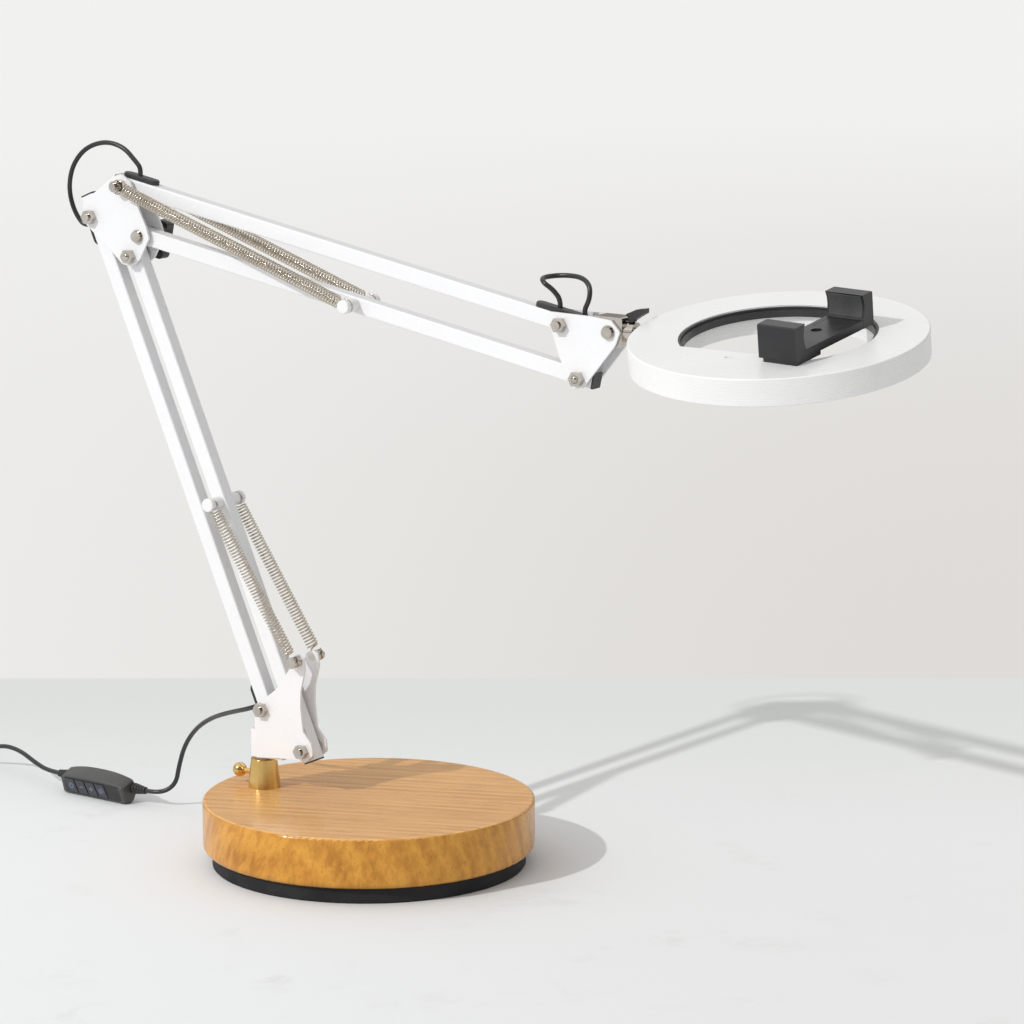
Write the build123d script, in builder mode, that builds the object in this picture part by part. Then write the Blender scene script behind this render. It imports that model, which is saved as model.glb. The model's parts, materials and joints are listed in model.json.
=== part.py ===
from build123d import *

import os
from math import cos, radians, sin, tan

# ------------------------------------------------------------------ driving dimensions, in mm
# The origin is the centre of the foot's underside. The arm lies in a plane parallel to XZ,
# a little in front of the base's centre, and reaches towards +X.

# base
BASE_RADIUS = 127.0
BASE_TOP = 51.0
FOOT_HEIGHT = 12.0
FOOT_RADIUS = 120.0
WOOD_TOP_ROUND = 2.0
WOOD_BOTTOM_ROUND = 6.0
WEIGHT_RADIUS = 94.0
WEIGHT_HEIGHT = 20.0
WEIGHT_GAP = 1.0
WEIGHT_NOTCH = 14.0
BASE_SCREW_CIRCLE = 106.0
BASE_SCREW_COUNT = 4

# socket that the arm turns in
SOCKET_AT = (-87.0, -15.0)
SOCKET_HEIGHT = 23.0
SOCKET_FOOT_RADIUS = 12.5
SOCKET_TOP_RADIUS = 10.2
SOCKET_FLOOR = 2.3
STUD_RADIUS = 5.0
STUD_LENGTH = 26.0
POST_RADIUS = 5.0
THUMBSCREW_HEIGHT = 10.5
THUMBSCREW_REACH = 23.0
THUMBSCREW_BALL = 5.5
THUMBSCREW_RADIUS = 2.0

# square tubes, plates and the fasteners across them
ARM_Y = SOCKET_AT[1]
TUBE_SIZE = 12.0
TUBE_WALL = 1.2
TUBE_CORNER = 1.2
PLATE_THICKNESS = 2.0
SPACER_THICKNESS = 2.5
BOLT_RADIUS = 2.95
HOLE_RADIUS = 3.0
NUT_HALF_WIDTH = 5.0
NUT_HEIGHT = 5.0
BOLT_STICKS_OUT = 1.6
CAP_FLANGE = 1.2
CAP_CLEARANCE = 0.15

# the linkage at rest, in the arm's plane
ARM_LENGTH = 401.5
LOWER_LEAN = 23.0
UPPER_DIP = 11.2
REAR_FOOT = (-81.0, 114.5)
FOOT_STEP = (37.2, -28.2)
ELBOW_STEP = (29.8, 25.7)
HEAD_STEP = (15.0, -38.15)
TILT_STEP = (40.2, -2.6)
SPRING_STUD_STEP = (33.7, 41.7)
LONG_OVERHANG = 17.0
TUBE_OVERHANG = 9.0
SHORT_OVERHANG = 4.5

# springs and the spools that hold them
SPRING_Y = 16.3
SPRING_RADIUS = 5.0
SPRING_WIRE = 1.2
SPRING_END_GAP = 6.2
SPOOL_RADIUS = 5.3
SPOOL_COLLAR = 5.0
SPOOL_NECK = 3.0
SPOOL_REACH = 22.0
NECK_FROM = 15.0
NECK_TO = 17.6
LOOP_CLEARANCE = 0.3

# cord
CORD_RADIUS = 1.85
GROMMET_WIDTH = 9.0
GROMMET_HEIGHT = 3.6
LOWER_GROMMET_LENGTH = 20.0
ELBOW_GROMMET_LENGTH = 32.0
HEAD_GROMMET_LENGTH = 39.5

# tilting head
BLOCK_LENGTH = 24.0
BLOCK_BEHIND = 14.0
BLOCK_HALF_WIDTH = 8.2
BLOCK_UP = 11.0
BLOCK_DOWN = 10.5
BOSS_LENGTH = 7.5
BOSS_RADIUS = 7.5
STEM_RADIUS = 4.5
STEM_BORE = 4.55
STEM_START = 5.0
RING_REACH = 133.2
RING_ROLL = 9.35
STEM_DIP = 0.7

# ring light
RING_RADIUS = 106.5
RING_HOLE = 70.5
RING_HALF_HEIGHT = 10.0
RING_WALL = 2.5
RING_TOP = 3.0
BRIDGE_EDGE = 48.0
LIP_DEPTH = 7.0
LED_COUNT = 36
LED_CIRCLE = 86.0

# phone clamp on the ring
CLAMP_AT = (38.9, -15.2)
CLAMP_TURN = -5.0
CLAMP_LENGTH = 99.0
CLAMP_WIDTH = 30.8
CLAMP_LIFT = 3.0
CLAMP_BAR = 6.0
CLAMP_HEIGHT = 24.0
JAW_THICKNESS = 13.0
TONGUE_LENGTH = 24.0
TONGUE_PLAY = 0.6

# in-line controller on the cord
CONTROLLER_AT = (-297.2, 47.0)
CONTROLLER_HEADING = 6.0
CONTROLLER_LENGTH = 69.0
CONTROLLER_WALL = 1.6
BUTTON_COUNT = 4
BUTTON_PITCH = 11.0
BUTTON_WIDTH = 9.4
BUTTON_HEIGHT = 11.0
BUTTON_RISE = 0.7
RELIEF_LENGTH = 13.5

# coil of spare cord, with the plug beside it
COIL_AT = (-500.0, 100.0)
COIL_RADIUS = 26.0
COIL_EYE = 15.0
COIL_HEIGHT = 11.0
PLUG_AT = (-500.0, 58.0)
PLUG_BODY = (30.0, 15.5, 8.0)
PLUG_SHELL = (14.0, 12.0, 4.5)

# ------------------------------------------------------------------ places worked out from them
HALF_TUBE = TUBE_SIZE / 2
PLATE_IN = HALF_TUBE + SPACER_THICKNESS
PLATE_OUT = PLATE_IN + PLATE_THICKNESS
NUT_OUT = PLATE_OUT + NUT_HEIGHT
LOWER_WAY = (-sin(radians(LOWER_LEAN)), cos(radians(LOWER_LEAN)))
UPPER_WAY = (cos(radians(UPPER_DIP)), -sin(radians(UPPER_DIP)))


def step(start, way, distance=1.0):
    """Point at a distance along a direction from a start, in the arm's plane."""
    return (start[0] + way[0] * distance, start[1] + way[1] * distance)


FRONT_FOOT = step(REAR_FOOT, FOOT_STEP)
REAR_ELBOW = step(REAR_FOOT, LOWER_WAY, ARM_LENGTH)
FRONT_ELBOW = step(FRONT_FOOT, LOWER_WAY, ARM_LENGTH)
TOP_ELBOW = step(REAR_ELBOW, ELBOW_STEP)
BOTTOM_ELBOW = step(TOP_ELBOW, HEAD_STEP)
TOP_HEAD = step(TOP_ELBOW, UPPER_WAY, ARM_LENGTH)
BOTTOM_HEAD = step(BOTTOM_ELBOW, UPPER_WAY, ARM_LENGTH)
TILT = step(TOP_HEAD, TILT_STEP)
SPRING_STUD = step(REAR_FOOT, SPRING_STUD_STEP)
LOWER_PIN = step(FRONT_FOOT, LOWER_WAY, ARM_LENGTH / 2)
UPPER_PIN = step(BOTTOM_ELBOW, UPPER_WAY, ARM_LENGTH / 2)

# the stem and the ring: x runs out along the stem, z is the ring's upward normal
STEM_WAY = Vector(cos(radians(STEM_DIP)), 0, -sin(radians(STEM_DIP)))
RING_NORMAL = (
    Vector(sin(radians(STEM_DIP)), 0, cos(radians(STEM_DIP))) * cos(radians(RING_ROLL))
    + Vector(0, -1, 0) * sin(radians(RING_ROLL))
)
TILT_POINT = Vector(TILT[0], ARM_Y, TILT[1])
HEAD = Plane(origin=TILT_POINT, x_dir=STEM_WAY, z_dir=(0, -1, 0))
RING = Plane(origin=TILT_POINT + STEM_WAY * RING_REACH, x_dir=STEM_WAY, z_dir=RING_NORMAL)
CLAMP = Plane(
    origin=RING.from_local_coords(Vector(*CLAMP_AT, RING_HALF_HEIGHT)),
    x_dir=RING.x_dir.rotate(Axis((0, 0, 0), RING.z_dir), CLAMP_TURN),
    z_dir=RING.z_dir,
)

# the controller: x points to its button face, y up, z along it towards the plug
CONTROLLER_WAY = Vector(-cos(radians(CONTROLLER_HEADING)), sin(radians(CONTROLLER_HEADING)), 0)
CONTROLLER_FRONT = Vector(-sin(radians(CONTROLLER_HEADING)), -cos(radians(CONTROLLER_HEADING)), 0)
CONTROLLER = Plane(origin=(*CONTROLLER_AT, 0), x_dir=CONTROLLER_FRONT, z_dir=CONTROLLER_WAY)
FACE_BOTTOM = (4.0, 0.0)
FACE_TOP = (8.5, 17.0)
CONTROLLER_OUTLINE = [(-6.0, 0.0), FACE_BOTTOM, FACE_TOP, (-5.5, 24.0), (-12.0, 11.0)]
CORD_HEIGHT = 12.2
CORD_BACK = 6.0

# ------------------------------------------------------------------ shared helpers


def arm_plane(y):
    """Plane along the arm, facing the front, at a distance behind the arm's middle."""
    return Plane(origin=(0, ARM_Y + y, 0), x_dir=(1, 0, 0), z_dir=(0, -1, 0))


def cross_bar(at, radius, near, far, mode=Mode.ADD):
    """Round bar across the arm, between two distances behind the arm's middle."""
    with BuildSketch(arm_plane(far)) as face:
        with Locations(at):
            Circle(radius)
    extrude(face.sketch, amount=far - near, mode=mode)


def cross_hex(at, near, far):
    """Hexagon across the arm, between two distances behind the arm's middle."""
    with BuildSketch(arm_plane(far)) as face:
        with Locations(at):
            RegularPolygon(NUT_HALF_WIDTH, 6, major_radius=False)
    extrude(face.sketch, amount=far - near)


def tube_plane(start, way, distance):
    """Plane square to a tube: its y points to the tube's outer face."""
    at = step(start, way, distance)
    return Plane(origin=(at[0], ARM_Y, at[1]), x_dir=(0, 1, 0), z_dir=(way[0], 0, way[1]))


def outer_face(start, way, distance, height):
    """Plane on a tube's outer face: x runs along the tube, z points out of it."""
    middle = tube_plane(start, way, distance)
    return Plane(
        origin=middle.origin + middle.y_dir * height, x_dir=middle.z_dir, z_dir=middle.y_dir
    )


def save(part, name):
    """Label a finished piece and write its file."""
    part.label = name
    export_step(part, f"parts/{name}.step")


def cord_radii(points):
    """Largest even bend radius at each corner of a cord's route."""
    radii = []
    for before, here, after in zip(points, points[1:], points[2:]):
        turn = (here - before).get_angle(after - here)
        run = min((here - before).length, (after - here).length)
        radii.append(0.45 * run / tan(radians(turn) / 2))
    return radii


def cord(points, name):
    """Round cord along straight runs joined by tangent arcs."""
    route = [Vector(*point) for point in points]
    radii = cord_radii(route)
    with BuildPart() as piece:
        with BuildLine() as path:
            FilletPolyline(*route, radius=radii)
        start = Plane(origin=path.line @ 0, z_dir=path.line % 0)
        with BuildSketch(start):
            Circle(CORD_RADIUS)
        sweep(path=path.line)
    length = sum(edge.length for edge in path.line.edges())
    exact = length * 3.14159265 * CORD_RADIUS**2
    print(f"{name}: length {length:.0f}, volume ratio {piece.part.volume / exact:.4f}, radii",
          [round(radius, 1) for radius in radii])
    return piece.part


# ------------------------------------------------------------------ base


def make_base():
    """Oak disc, the black foot under it, the steel weight inside and the screws."""
    with BuildPart() as wood:
        with BuildSketch(Plane.XY.offset(FOOT_HEIGHT)):
            Circle(BASE_RADIUS)
        extrude(amount=BASE_TOP - FOOT_HEIGHT)
        rims = wood.edges().filter_by(GeomType.CIRCLE).sort_by(Axis.Z)
        fillet(rims[-1], WOOD_TOP_ROUND)
        fillet(rims[0], WOOD_BOTTOM_ROUND)
        with BuildSketch(Plane.XY.offset(FOOT_HEIGHT)):
            Circle(WEIGHT_RADIUS + WEIGHT_GAP)
            with Locations(SOCKET_AT):
                Circle(WEIGHT_NOTCH)
        extrude(amount=WEIGHT_HEIGHT + WEIGHT_GAP, mode=Mode.SUBTRACT)
        with BuildSketch(Plane.XY.offset(FOOT_HEIGHT)):
            with Locations(SOCKET_AT):
                Circle(STUD_RADIUS + 0.1)
        extrude(amount=BASE_TOP, mode=Mode.SUBTRACT)
        with BuildSketch(Plane.XY.offset(FOOT_HEIGHT)):
            with PolarLocations(BASE_SCREW_CIRCLE, BASE_SCREW_COUNT, start_angle=45):
                Circle(1.85)
        extrude(amount=18, mode=Mode.SUBTRACT)
    save(wood.part, "base_wood")

    with BuildPart() as weight:
        with BuildSketch(Plane.XY.offset(FOOT_HEIGHT)):
            Circle(WEIGHT_RADIUS)
            with Locations(SOCKET_AT):
                Circle(WEIGHT_NOTCH, mode=Mode.SUBTRACT)
        extrude(amount=WEIGHT_HEIGHT)
    save(weight.part, "base_weight")

    with BuildPart() as foot:
        with BuildSketch():
            Circle(FOOT_RADIUS)
        extrude(amount=FOOT_HEIGHT)
        chamfer(foot.edges().filter_by(GeomType.CIRCLE).sort_by(Axis.Z)[0], 1.0)
        with Locations(Plane.XY.rotated((180, 0, 0))):
            with PolarLocations(BASE_SCREW_CIRCLE, BASE_SCREW_COUNT, start_angle=45):
                CounterBoreHole(1.85, 4.1, 4.0, FOOT_HEIGHT)
    save(foot.part, "base_foot")

    with BuildPart() as screws:
        with BuildSketch(Plane.XY.offset(1.2)):
            with PolarLocations(BASE_SCREW_CIRCLE, BASE_SCREW_COUNT, start_angle=45):
                Circle(4.0)
        extrude(amount=2.8)
        with BuildSketch(Plane.XY.offset(4.0)):
            with PolarLocations(BASE_SCREW_CIRCLE, BASE_SCREW_COUNT, start_angle=45):
                Circle(1.8)
        extrude(amount=24)
    save(screws.part, "base_screws")


def make_socket():
    """Brass cone with its stud, the nut under the wood and the ball-headed thumbscrew."""
    bore_bottom = BASE_TOP + SOCKET_FLOOR
    socket_top = BASE_TOP + SOCKET_HEIGHT
    screw_z = BASE_TOP + THUMBSCREW_HEIGHT
    screw_plane = Plane(origin=(*SOCKET_AT, screw_z), x_dir=(0, 1, 0), z_dir=(-1, 0, 0))

    with BuildPart() as socket:
        with BuildSketch(Plane.XY.offset(BASE_TOP)):
            with Locations(SOCKET_AT):
                Circle(SOCKET_FOOT_RADIUS)
        with BuildSketch(Plane.XY.offset(socket_top)):
            with Locations(SOCKET_AT):
                Circle(SOCKET_TOP_RADIUS)
        loft()
        fillet(socket.edges().filter_by(GeomType.CIRCLE).sort_by(Axis.Z)[-1], 0.8)
        with BuildSketch(Plane.XY.offset(BASE_TOP)):
            with Locations(SOCKET_AT):
                Circle(STUD_RADIUS)
        extrude(amount=-STUD_LENGTH)
        with BuildSketch(Plane.XY.offset(bore_bottom)):
            with Locations(SOCKET_AT):
                Circle(POST_RADIUS + 0.05)
        extrude(amount=SOCKET_HEIGHT, mode=Mode.SUBTRACT)
        with BuildSketch(screw_plane):
            Circle(THUMBSCREW_RADIUS + 0.05)
        extrude(amount=SOCKET_FOOT_RADIUS + 2, mode=Mode.SUBTRACT)
    save(socket.part, "socket")

    with BuildPart() as nut:
        with BuildSketch(Plane.XY.offset(FOOT_HEIGHT + WEIGHT_HEIGHT + WEIGHT_GAP - 7)):
            with Locations(SOCKET_AT):
                RegularPolygon(8.5, 6, major_radius=False)
                Circle(STUD_RADIUS + 0.05, mode=Mode.SUBTRACT)
        extrude(amount=7)
    save(nut.part, "socket_nut")

    with BuildPart() as screw:
        with BuildSketch(screw_plane.offset(POST_RADIUS + 0.3)):
            Circle(THUMBSCREW_RADIUS)
        extrude(amount=THUMBSCREW_REACH - POST_RADIUS - 0.3)
        with Locations(screw_plane.offset(THUMBSCREW_REACH)):
            Sphere(THUMBSCREW_BALL)
    save(screw.part, "thumbscrew")


# ------------------------------------------------------------------ lower bracket

POST_BLOCK = ((-93.0, 76.0), (-64.0, 98.0))
LOWER_OUTLINE = [
    (-88.0, 76.0), (-88.0, 108.0), (-82.0, 121.0), (-67.5, 132.0), (-56.0, 148.0), (-52.5, 158.5),
    (-47.3, 161.8), (-42.0, 158.5), (-41.0, 150.0), (-45.0, 134.0), (-45.5, 121.0),
    (-43.3, 101.6), (-35.6, 92.5), (-34.3, 84.0), (-41.0, 78.2), (-49.0, 79.0), (-68.0, 78.0),
]
ELBOW_OUTLINE = [
    (-208.0, 518.8), (-215.5, 516.5), (-244.5, 495.0), (-245.5, 482.0), (-240.5, 476.5),
    (-217.8, 458.9), (-208.0, 449.6), (-198.5, 448.2), (-191.5, 454.0), (-186.0, 464.0),
    (-182.3, 471.0), (-184.9, 479.5), (-191.3, 492.0), (-199.0, 513.0),
]
HEAD_OUTLINE = [
    (175.8, 440.8), (212.0, 439.7), (228.0, 438.0), (235.6, 430.0), (232.0, 420.5), (210.0, 393.5),
    (205.0, 387.0), (197.5, 386.4), (193.0, 391.5), (185.3, 408.0), (177.8, 429.0),
]


def make_plates(outline, holes, name):
    """Pair of equal sheet plates, one on each side of the tubes."""
    with BuildPart() as plates:
        for y in (-PLATE_IN, PLATE_OUT):
            with BuildSketch(arm_plane(y)) as face:
                with BuildLine():
                    Polyline(*outline, close=True)
                make_face()
                fillet(face.vertices(), 2.2)
                with Locations(*holes):
                    Circle(HOLE_RADIUS, mode=Mode.SUBTRACT)
            extrude(amount=PLATE_THICKNESS)
    save(plates.part, name)


def make_bolts(places, domes, name, spring_bolt=None):
    """Hexagon bolts from the back, domed bolts from the front and one long spring bolt."""
    with BuildPart() as bolts:
        for at in places:
            cross_bar(at, BOLT_RADIUS, -NUT_OUT - BOLT_STICKS_OUT, PLATE_OUT)
            cross_hex(at, PLATE_OUT, PLATE_OUT + 4.0)
        for at in domes:
            cross_bar(at, BOLT_RADIUS, -PLATE_OUT, PLATE_OUT + 4.0)
            cross_bar(at, SPOOL_RADIUS, -PLATE_OUT - 0.8, -PLATE_OUT)
            cross_bar(at, 4.2, -PLATE_OUT - 3.2, -PLATE_OUT - 0.8)
            rim = bolts.edges().filter_by(GeomType.CIRCLE).sort_by(Axis.Y)[0]
            fillet(rim, 2.0)
        if spring_bolt:
            cross_bar(spring_bolt, BOLT_RADIUS, -SPOOL_REACH, SPOOL_REACH)
            for side in (-1, 1):
                near, far = sorted((side * PLATE_OUT, side * NECK_FROM))
                cross_bar(spring_bolt, SPOOL_COLLAR, near, far)
                near, far = sorted((side * NECK_TO, side * (NECK_TO + 2.4)))
                cross_bar(spring_bolt, 4.4, near, far)
    save(bolts.part, name)


def make_nuts(places, name):
    """Hexagon nuts on the front plate."""
    with BuildPart() as nuts:
        for at in places:
            cross_hex(at, -NUT_OUT, -PLATE_OUT)
            cross_bar(at, HOLE_RADIUS, -NUT_OUT, -PLATE_OUT, mode=Mode.SUBTRACT)
    save(nuts.part, name)


def make_spacers(places, name):
    """Washers that fill the gap between a tube and each plate."""
    with BuildPart() as spacers:
        for at in places:
            for near in (-PLATE_IN, HALF_TUBE):
                cross_bar(at, HALF_TUBE, near, near + SPACER_THICKNESS)
                cross_bar(at, HOLE_RADIUS, near, near + SPACER_THICKNESS, mode=Mode.SUBTRACT)
    save(spacers.part, name)


def make_post():
    """Pin that turns in the socket, with the block that the lower plates are fixed to."""
    (left, low), (right, high) = POST_BLOCK
    with BuildPart() as post:
        with BuildSketch(arm_plane(PLATE_IN)):
            with Locations(((left + right) / 2, (low + high) / 2)):
                Rectangle(right - left, high - low)
        extrude(amount=2 * PLATE_IN)
        with BuildSketch(Plane.XY.offset(low)):
            with Locations(SOCKET_AT):
                Circle(POST_RADIUS)
        extrude(amount=BASE_TOP + SOCKET_FLOOR + 0.3 - low)
    save(post.part, "post")


def make_lower_bracket():
    """Plates, fasteners and the two studs that the lower springs hang on."""
    pivots = [REAR_FOOT, FRONT_FOOT]
    make_plates(LOWER_OUTLINE, pivots + [SPRING_STUD], "lower_plates")
    make_bolts(pivots, [], "lower_bolts")
    make_nuts(pivots, "lower_nuts")
    make_spacers(pivots, "lower_spacers")
    with BuildPart() as studs:
        for side in (-1, 1):
            near, far = sorted((side * PLATE_IN, side * (NECK_TO + 2.4)))
            cross_bar(SPRING_STUD, BOLT_RADIUS, near, far)
            near, far = sorted((side * PLATE_OUT, side * NECK_FROM))
            cross_bar(SPRING_STUD, 4.2, near, far)
            near, far = sorted((side * NECK_TO, side * (NECK_TO + 2.4)))
            cross_bar(SPRING_STUD, 4.2, near, far)
    save(studs.part, "lower_spring_studs")


# ------------------------------------------------------------------ tubes


def make_tube(start, way, overhangs, name, cord_holes=(), pin=None):
    """Square tube with its pivot holes, and a hole for each cord or spring pin."""
    first, last = overhangs
    with BuildPart() as tube:
        with BuildSketch(tube_plane(start, way, -first)):
            RectangleRounded(TUBE_SIZE, TUBE_SIZE, TUBE_CORNER)
            inner = TUBE_SIZE - 2 * TUBE_WALL
            Rectangle(inner, inner, mode=Mode.SUBTRACT)
        extrude(amount=first + ARM_LENGTH + last)
        for at in (start, step(start, way, ARM_LENGTH)):
            cross_bar(at, HOLE_RADIUS, -HALF_TUBE - 1, HALF_TUBE + 1, mode=Mode.SUBTRACT)
        if pin:
            cross_bar(pin, SPOOL_NECK + 0.05, -HALF_TUBE - 1, HALF_TUBE + 1, mode=Mode.SUBTRACT)
        for distance in cord_holes:
            with BuildSketch(outer_face(start, way, distance, HALF_TUBE)):
                Circle(CORD_RADIUS + 0.25)
            extrude(amount=-TUBE_WALL - 0.5, mode=Mode.SUBTRACT)
    save(tube.part, name)


def make_caps(start, way, overhangs, name):
    """Pair of plugs in a tube's ends."""
    inner = TUBE_SIZE - 2 * TUBE_WALL - 2 * CAP_CLEARANCE
    ends = [(-overhangs[0], -1, overhangs[0]), (ARM_LENGTH + overhangs[1], 1, overhangs[1])]
    with BuildPart() as caps:
        for distance, side, overhang in ends:
            plug = min(6.0, overhang - HOLE_RADIUS - 0.3)
            with BuildSketch(tube_plane(start, way, distance)):
                RectangleRounded(TUBE_SIZE, TUBE_SIZE, TUBE_CORNER)
            extrude(amount=side * CAP_FLANGE)
            with BuildSketch(tube_plane(start, way, distance)):
                Rectangle(inner, inner)
            extrude(amount=-side * plug)
    save(caps.part, name)


def make_grommets(start, way, places, name):
    """Oval cord grommets on a tube's outer face; each place is (middle, length, cord hole)."""
    with BuildPart() as grommets:
        for middle, length, hole in places:
            with BuildSketch(outer_face(start, way, middle, HALF_TUBE)):
                SlotOverall(length, GROMMET_WIDTH)
            extrude(amount=GROMMET_HEIGHT)
            with BuildSketch(outer_face(start, way, hole, HALF_TUBE)):
                Circle(CORD_RADIUS + 0.25)
            extrude(amount=GROMMET_HEIGHT, mode=Mode.SUBTRACT)
        tops = [face for face in grommets.faces() if face.area > 100]
        tops = [face for face in tops if face.normal_at().dot(tube_plane(start, way, 0).y_dir) > 0.9]
        rims = [face.outer_wire().edges() for face in tops]
        chamfer(ShapeList([edge for group in rims for edge in group]), 0.8)
    save(grommets.part, name)


def make_spring_pin(at, name):
    """Two equal spools, one on each side of a tube, with spigots that meet inside it."""
    with BuildPart() as spools:
        for side in (-1, 1):
            rings = [
                (SPOOL_NECK, 0.05, HALF_TUBE), (SPOOL_COLLAR, HALF_TUBE, NECK_FROM),
                (SPOOL_NECK, NECK_FROM, NECK_TO), (SPOOL_RADIUS, NECK_TO, SPOOL_REACH),
            ]
            for radius, start, end in rings:
                near, far = sorted((side * start, side * end))
                cross_bar(at, radius, near, far)
        faces = spools.edges().filter_by(GeomType.CIRCLE).sort_by(Axis.Y)
        fillet([faces[0], faces[-1]], 1.2)
    save(spools.part, name)


def make_springs(start, end, name):
    """Pair of tension springs as tubes of their outer size, with a loop at each end."""
    span = Vector(end[0] - start[0], 0, end[1] - start[1])
    length = span.length
    with BuildPart() as springs:
        for y in (-SPRING_Y, SPRING_Y):
            origin = Vector(start[0], ARM_Y + y, start[1])
            body = Plane(origin=origin, x_dir=(0, 1, 0), z_dir=span.normalized())
            for at in (start, end):
                cross_bar(at, SPOOL_NECK + LOOP_CLEARANCE + SPRING_WIRE, y - 0.6, y + 0.6)
                cross_bar(at, SPOOL_NECK + LOOP_CLEARANCE, y - 0.6, y + 0.6, mode=Mode.SUBTRACT)
            with BuildSketch(body.offset(SPRING_END_GAP)):
                Circle(SPRING_RADIUS)
            extrude(amount=length - 2 * SPRING_END_GAP)
            with BuildSketch(body.offset(SPRING_END_GAP + SPRING_WIRE)):
                Circle(SPRING_RADIUS - SPRING_WIRE)
            extrude(amount=length - 2 * SPRING_END_GAP - 2 * SPRING_WIRE, mode=Mode.SUBTRACT)
            tab = SPRING_END_GAP - SPOOL_NECK - LOOP_CLEARANCE - 0.2
            for distance in (SPRING_END_GAP - tab, length - SPRING_END_GAP):
                with BuildSketch(body.offset(distance)):
                    Rectangle(SPRING_WIRE, SPRING_WIRE)
                extrude(amount=tab)
    save(springs.part, name)


# ------------------------------------------------------------------ elbow and head


def make_elbow():
    """Plates, fasteners and the friction knob at the back."""
    pivots = [REAR_ELBOW, FRONT_ELBOW]
    holes = [REAR_ELBOW, FRONT_ELBOW, TOP_ELBOW, BOTTOM_ELBOW]
    make_plates(ELBOW_OUTLINE, holes, "elbow_plates")
    make_bolts(pivots, [BOTTOM_ELBOW], "elbow_bolts", spring_bolt=TOP_ELBOW)
    make_nuts(pivots, "elbow_nuts")
    make_spacers(holes, "elbow_spacers")
    with BuildPart() as knob:
        cross_bar(BOTTOM_ELBOW, 8.0, PLATE_OUT + 0.3, PLATE_OUT + 13.0)
        with BuildSketch(arm_plane(PLATE_OUT + 16.0)) as lever:
            with Locations(step(BOTTOM_ELBOW, (-0.5, -5.0))):
                Rectangle(11.5, 30.0, rotation=-12)
            fillet(lever.vertices(), 3.5)
        extrude(amount=9.0)
        cross_bar(BOTTOM_ELBOW, BOLT_RADIUS + 0.05, PLATE_OUT, PLATE_OUT + 4.3, mode=Mode.SUBTRACT)
    save(knob.part, "elbow_knob")


def make_head():
    """Plates and fasteners, the tilting block between them and its locking lever."""
    pivots = [TOP_HEAD, BOTTOM_HEAD]
    make_plates(HEAD_OUTLINE, pivots + [TILT], "head_plates")
    make_bolts(pivots, [TILT], "head_bolts")
    make_nuts(pivots, "head_nuts")
    make_spacers(pivots, "head_spacers")

    block_front = BLOCK_LENGTH - BLOCK_BEHIND
    stem_end = Plane(origin=TILT_POINT + STEM_WAY * block_front, x_dir=(0, 1, 0), z_dir=STEM_WAY)
    lever_up = Plane(
        origin=TILT_POINT + STEM_WAY * (block_front + BOSS_LENGTH / 2),
        x_dir=STEM_WAY, z_dir=HEAD.y_dir,
    )
    with BuildPart() as block:
        with BuildSketch(Plane(origin=HEAD.origin - HEAD.z_dir * BLOCK_HALF_WIDTH,
                               x_dir=HEAD.x_dir, z_dir=HEAD.z_dir)):
            with Locations((BLOCK_LENGTH / 2 - BLOCK_BEHIND, (BLOCK_UP - BLOCK_DOWN) / 2)):
                RectangleRounded(BLOCK_LENGTH, BLOCK_UP + BLOCK_DOWN, 2.0)
        extrude(amount=2 * BLOCK_HALF_WIDTH)
        with BuildSketch(stem_end):
            Circle(BOSS_RADIUS)
        extrude(amount=BOSS_LENGTH)
        with BuildSketch(stem_end.offset(STEM_START - block_front)):
            Circle(STEM_BORE)
        extrude(amount=block_front - STEM_START + BOSS_LENGTH, mode=Mode.SUBTRACT)
        cross_bar(TILT, HOLE_RADIUS, -PLATE_IN, PLATE_IN, mode=Mode.SUBTRACT)
        with BuildSketch(lever_up):
            Circle(2.05)
        extrude(amount=BOSS_RADIUS + 2, mode=Mode.SUBTRACT)
        with BuildSketch(cord_port(-BLOCK_BEHIND)):
            Circle(CORD_RADIUS + 0.25)
        extrude(amount=-4.0, mode=Mode.SUBTRACT)
    save(block.part, "hinge_block")

    with BuildPart() as lever:
        with BuildSketch(lever_up.offset(STEM_RADIUS + 0.3)):
            Circle(2.0)
        extrude(amount=8.0)
        with BuildSketch(lever_up.offset(BOSS_RADIUS + 0.6)):
            Circle(3.4)
        extrude(amount=4.6)
        with BuildSketch(Plane(origin=lever_up.origin + Vector(0, 3.2, 0),
                               x_dir=HEAD.x_dir, z_dir=HEAD.z_dir)):
            with BuildLine():
                Polyline((0.0, 8.6), (2.0, 8.6), (6.5, 11.6), (12.0, 15.0), (12.0, 18.2),
                         (5.0, 17.2), (-3.4, 13.4), (-3.4, 11.6), (0.0, 11.6), close=True)
            make_face()
        extrude(amount=6.4)
    save(lever.part, "head_lever")

    with BuildPart() as stem:
        with BuildSketch(stem_end.offset(STEM_START - block_front + 0.3)):
            Circle(STEM_RADIUS)
        extrude(amount=RING_REACH - LED_CIRCLE - 12.0 - STEM_START - 0.3)
    save(stem.part, "ring_stem")


def cord_port(distance):
    """Plane where the cord enters the tilting block, facing back along the stem."""
    origin = TILT_POINT + STEM_WAY * distance + HEAD.y_dir * 4.5
    return Plane(origin=origin, x_dir=(0, 1, 0), z_dir=STEM_WAY * -1)


# ------------------------------------------------------------------ ring light


def annulus(plane, outer, inner, amount):
    """Flat ring on a plane."""
    with BuildSketch(plane) as face:
        Circle(outer)
        Circle(inner, mode=Mode.SUBTRACT)
    extrude(face.sketch, amount=amount)


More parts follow.
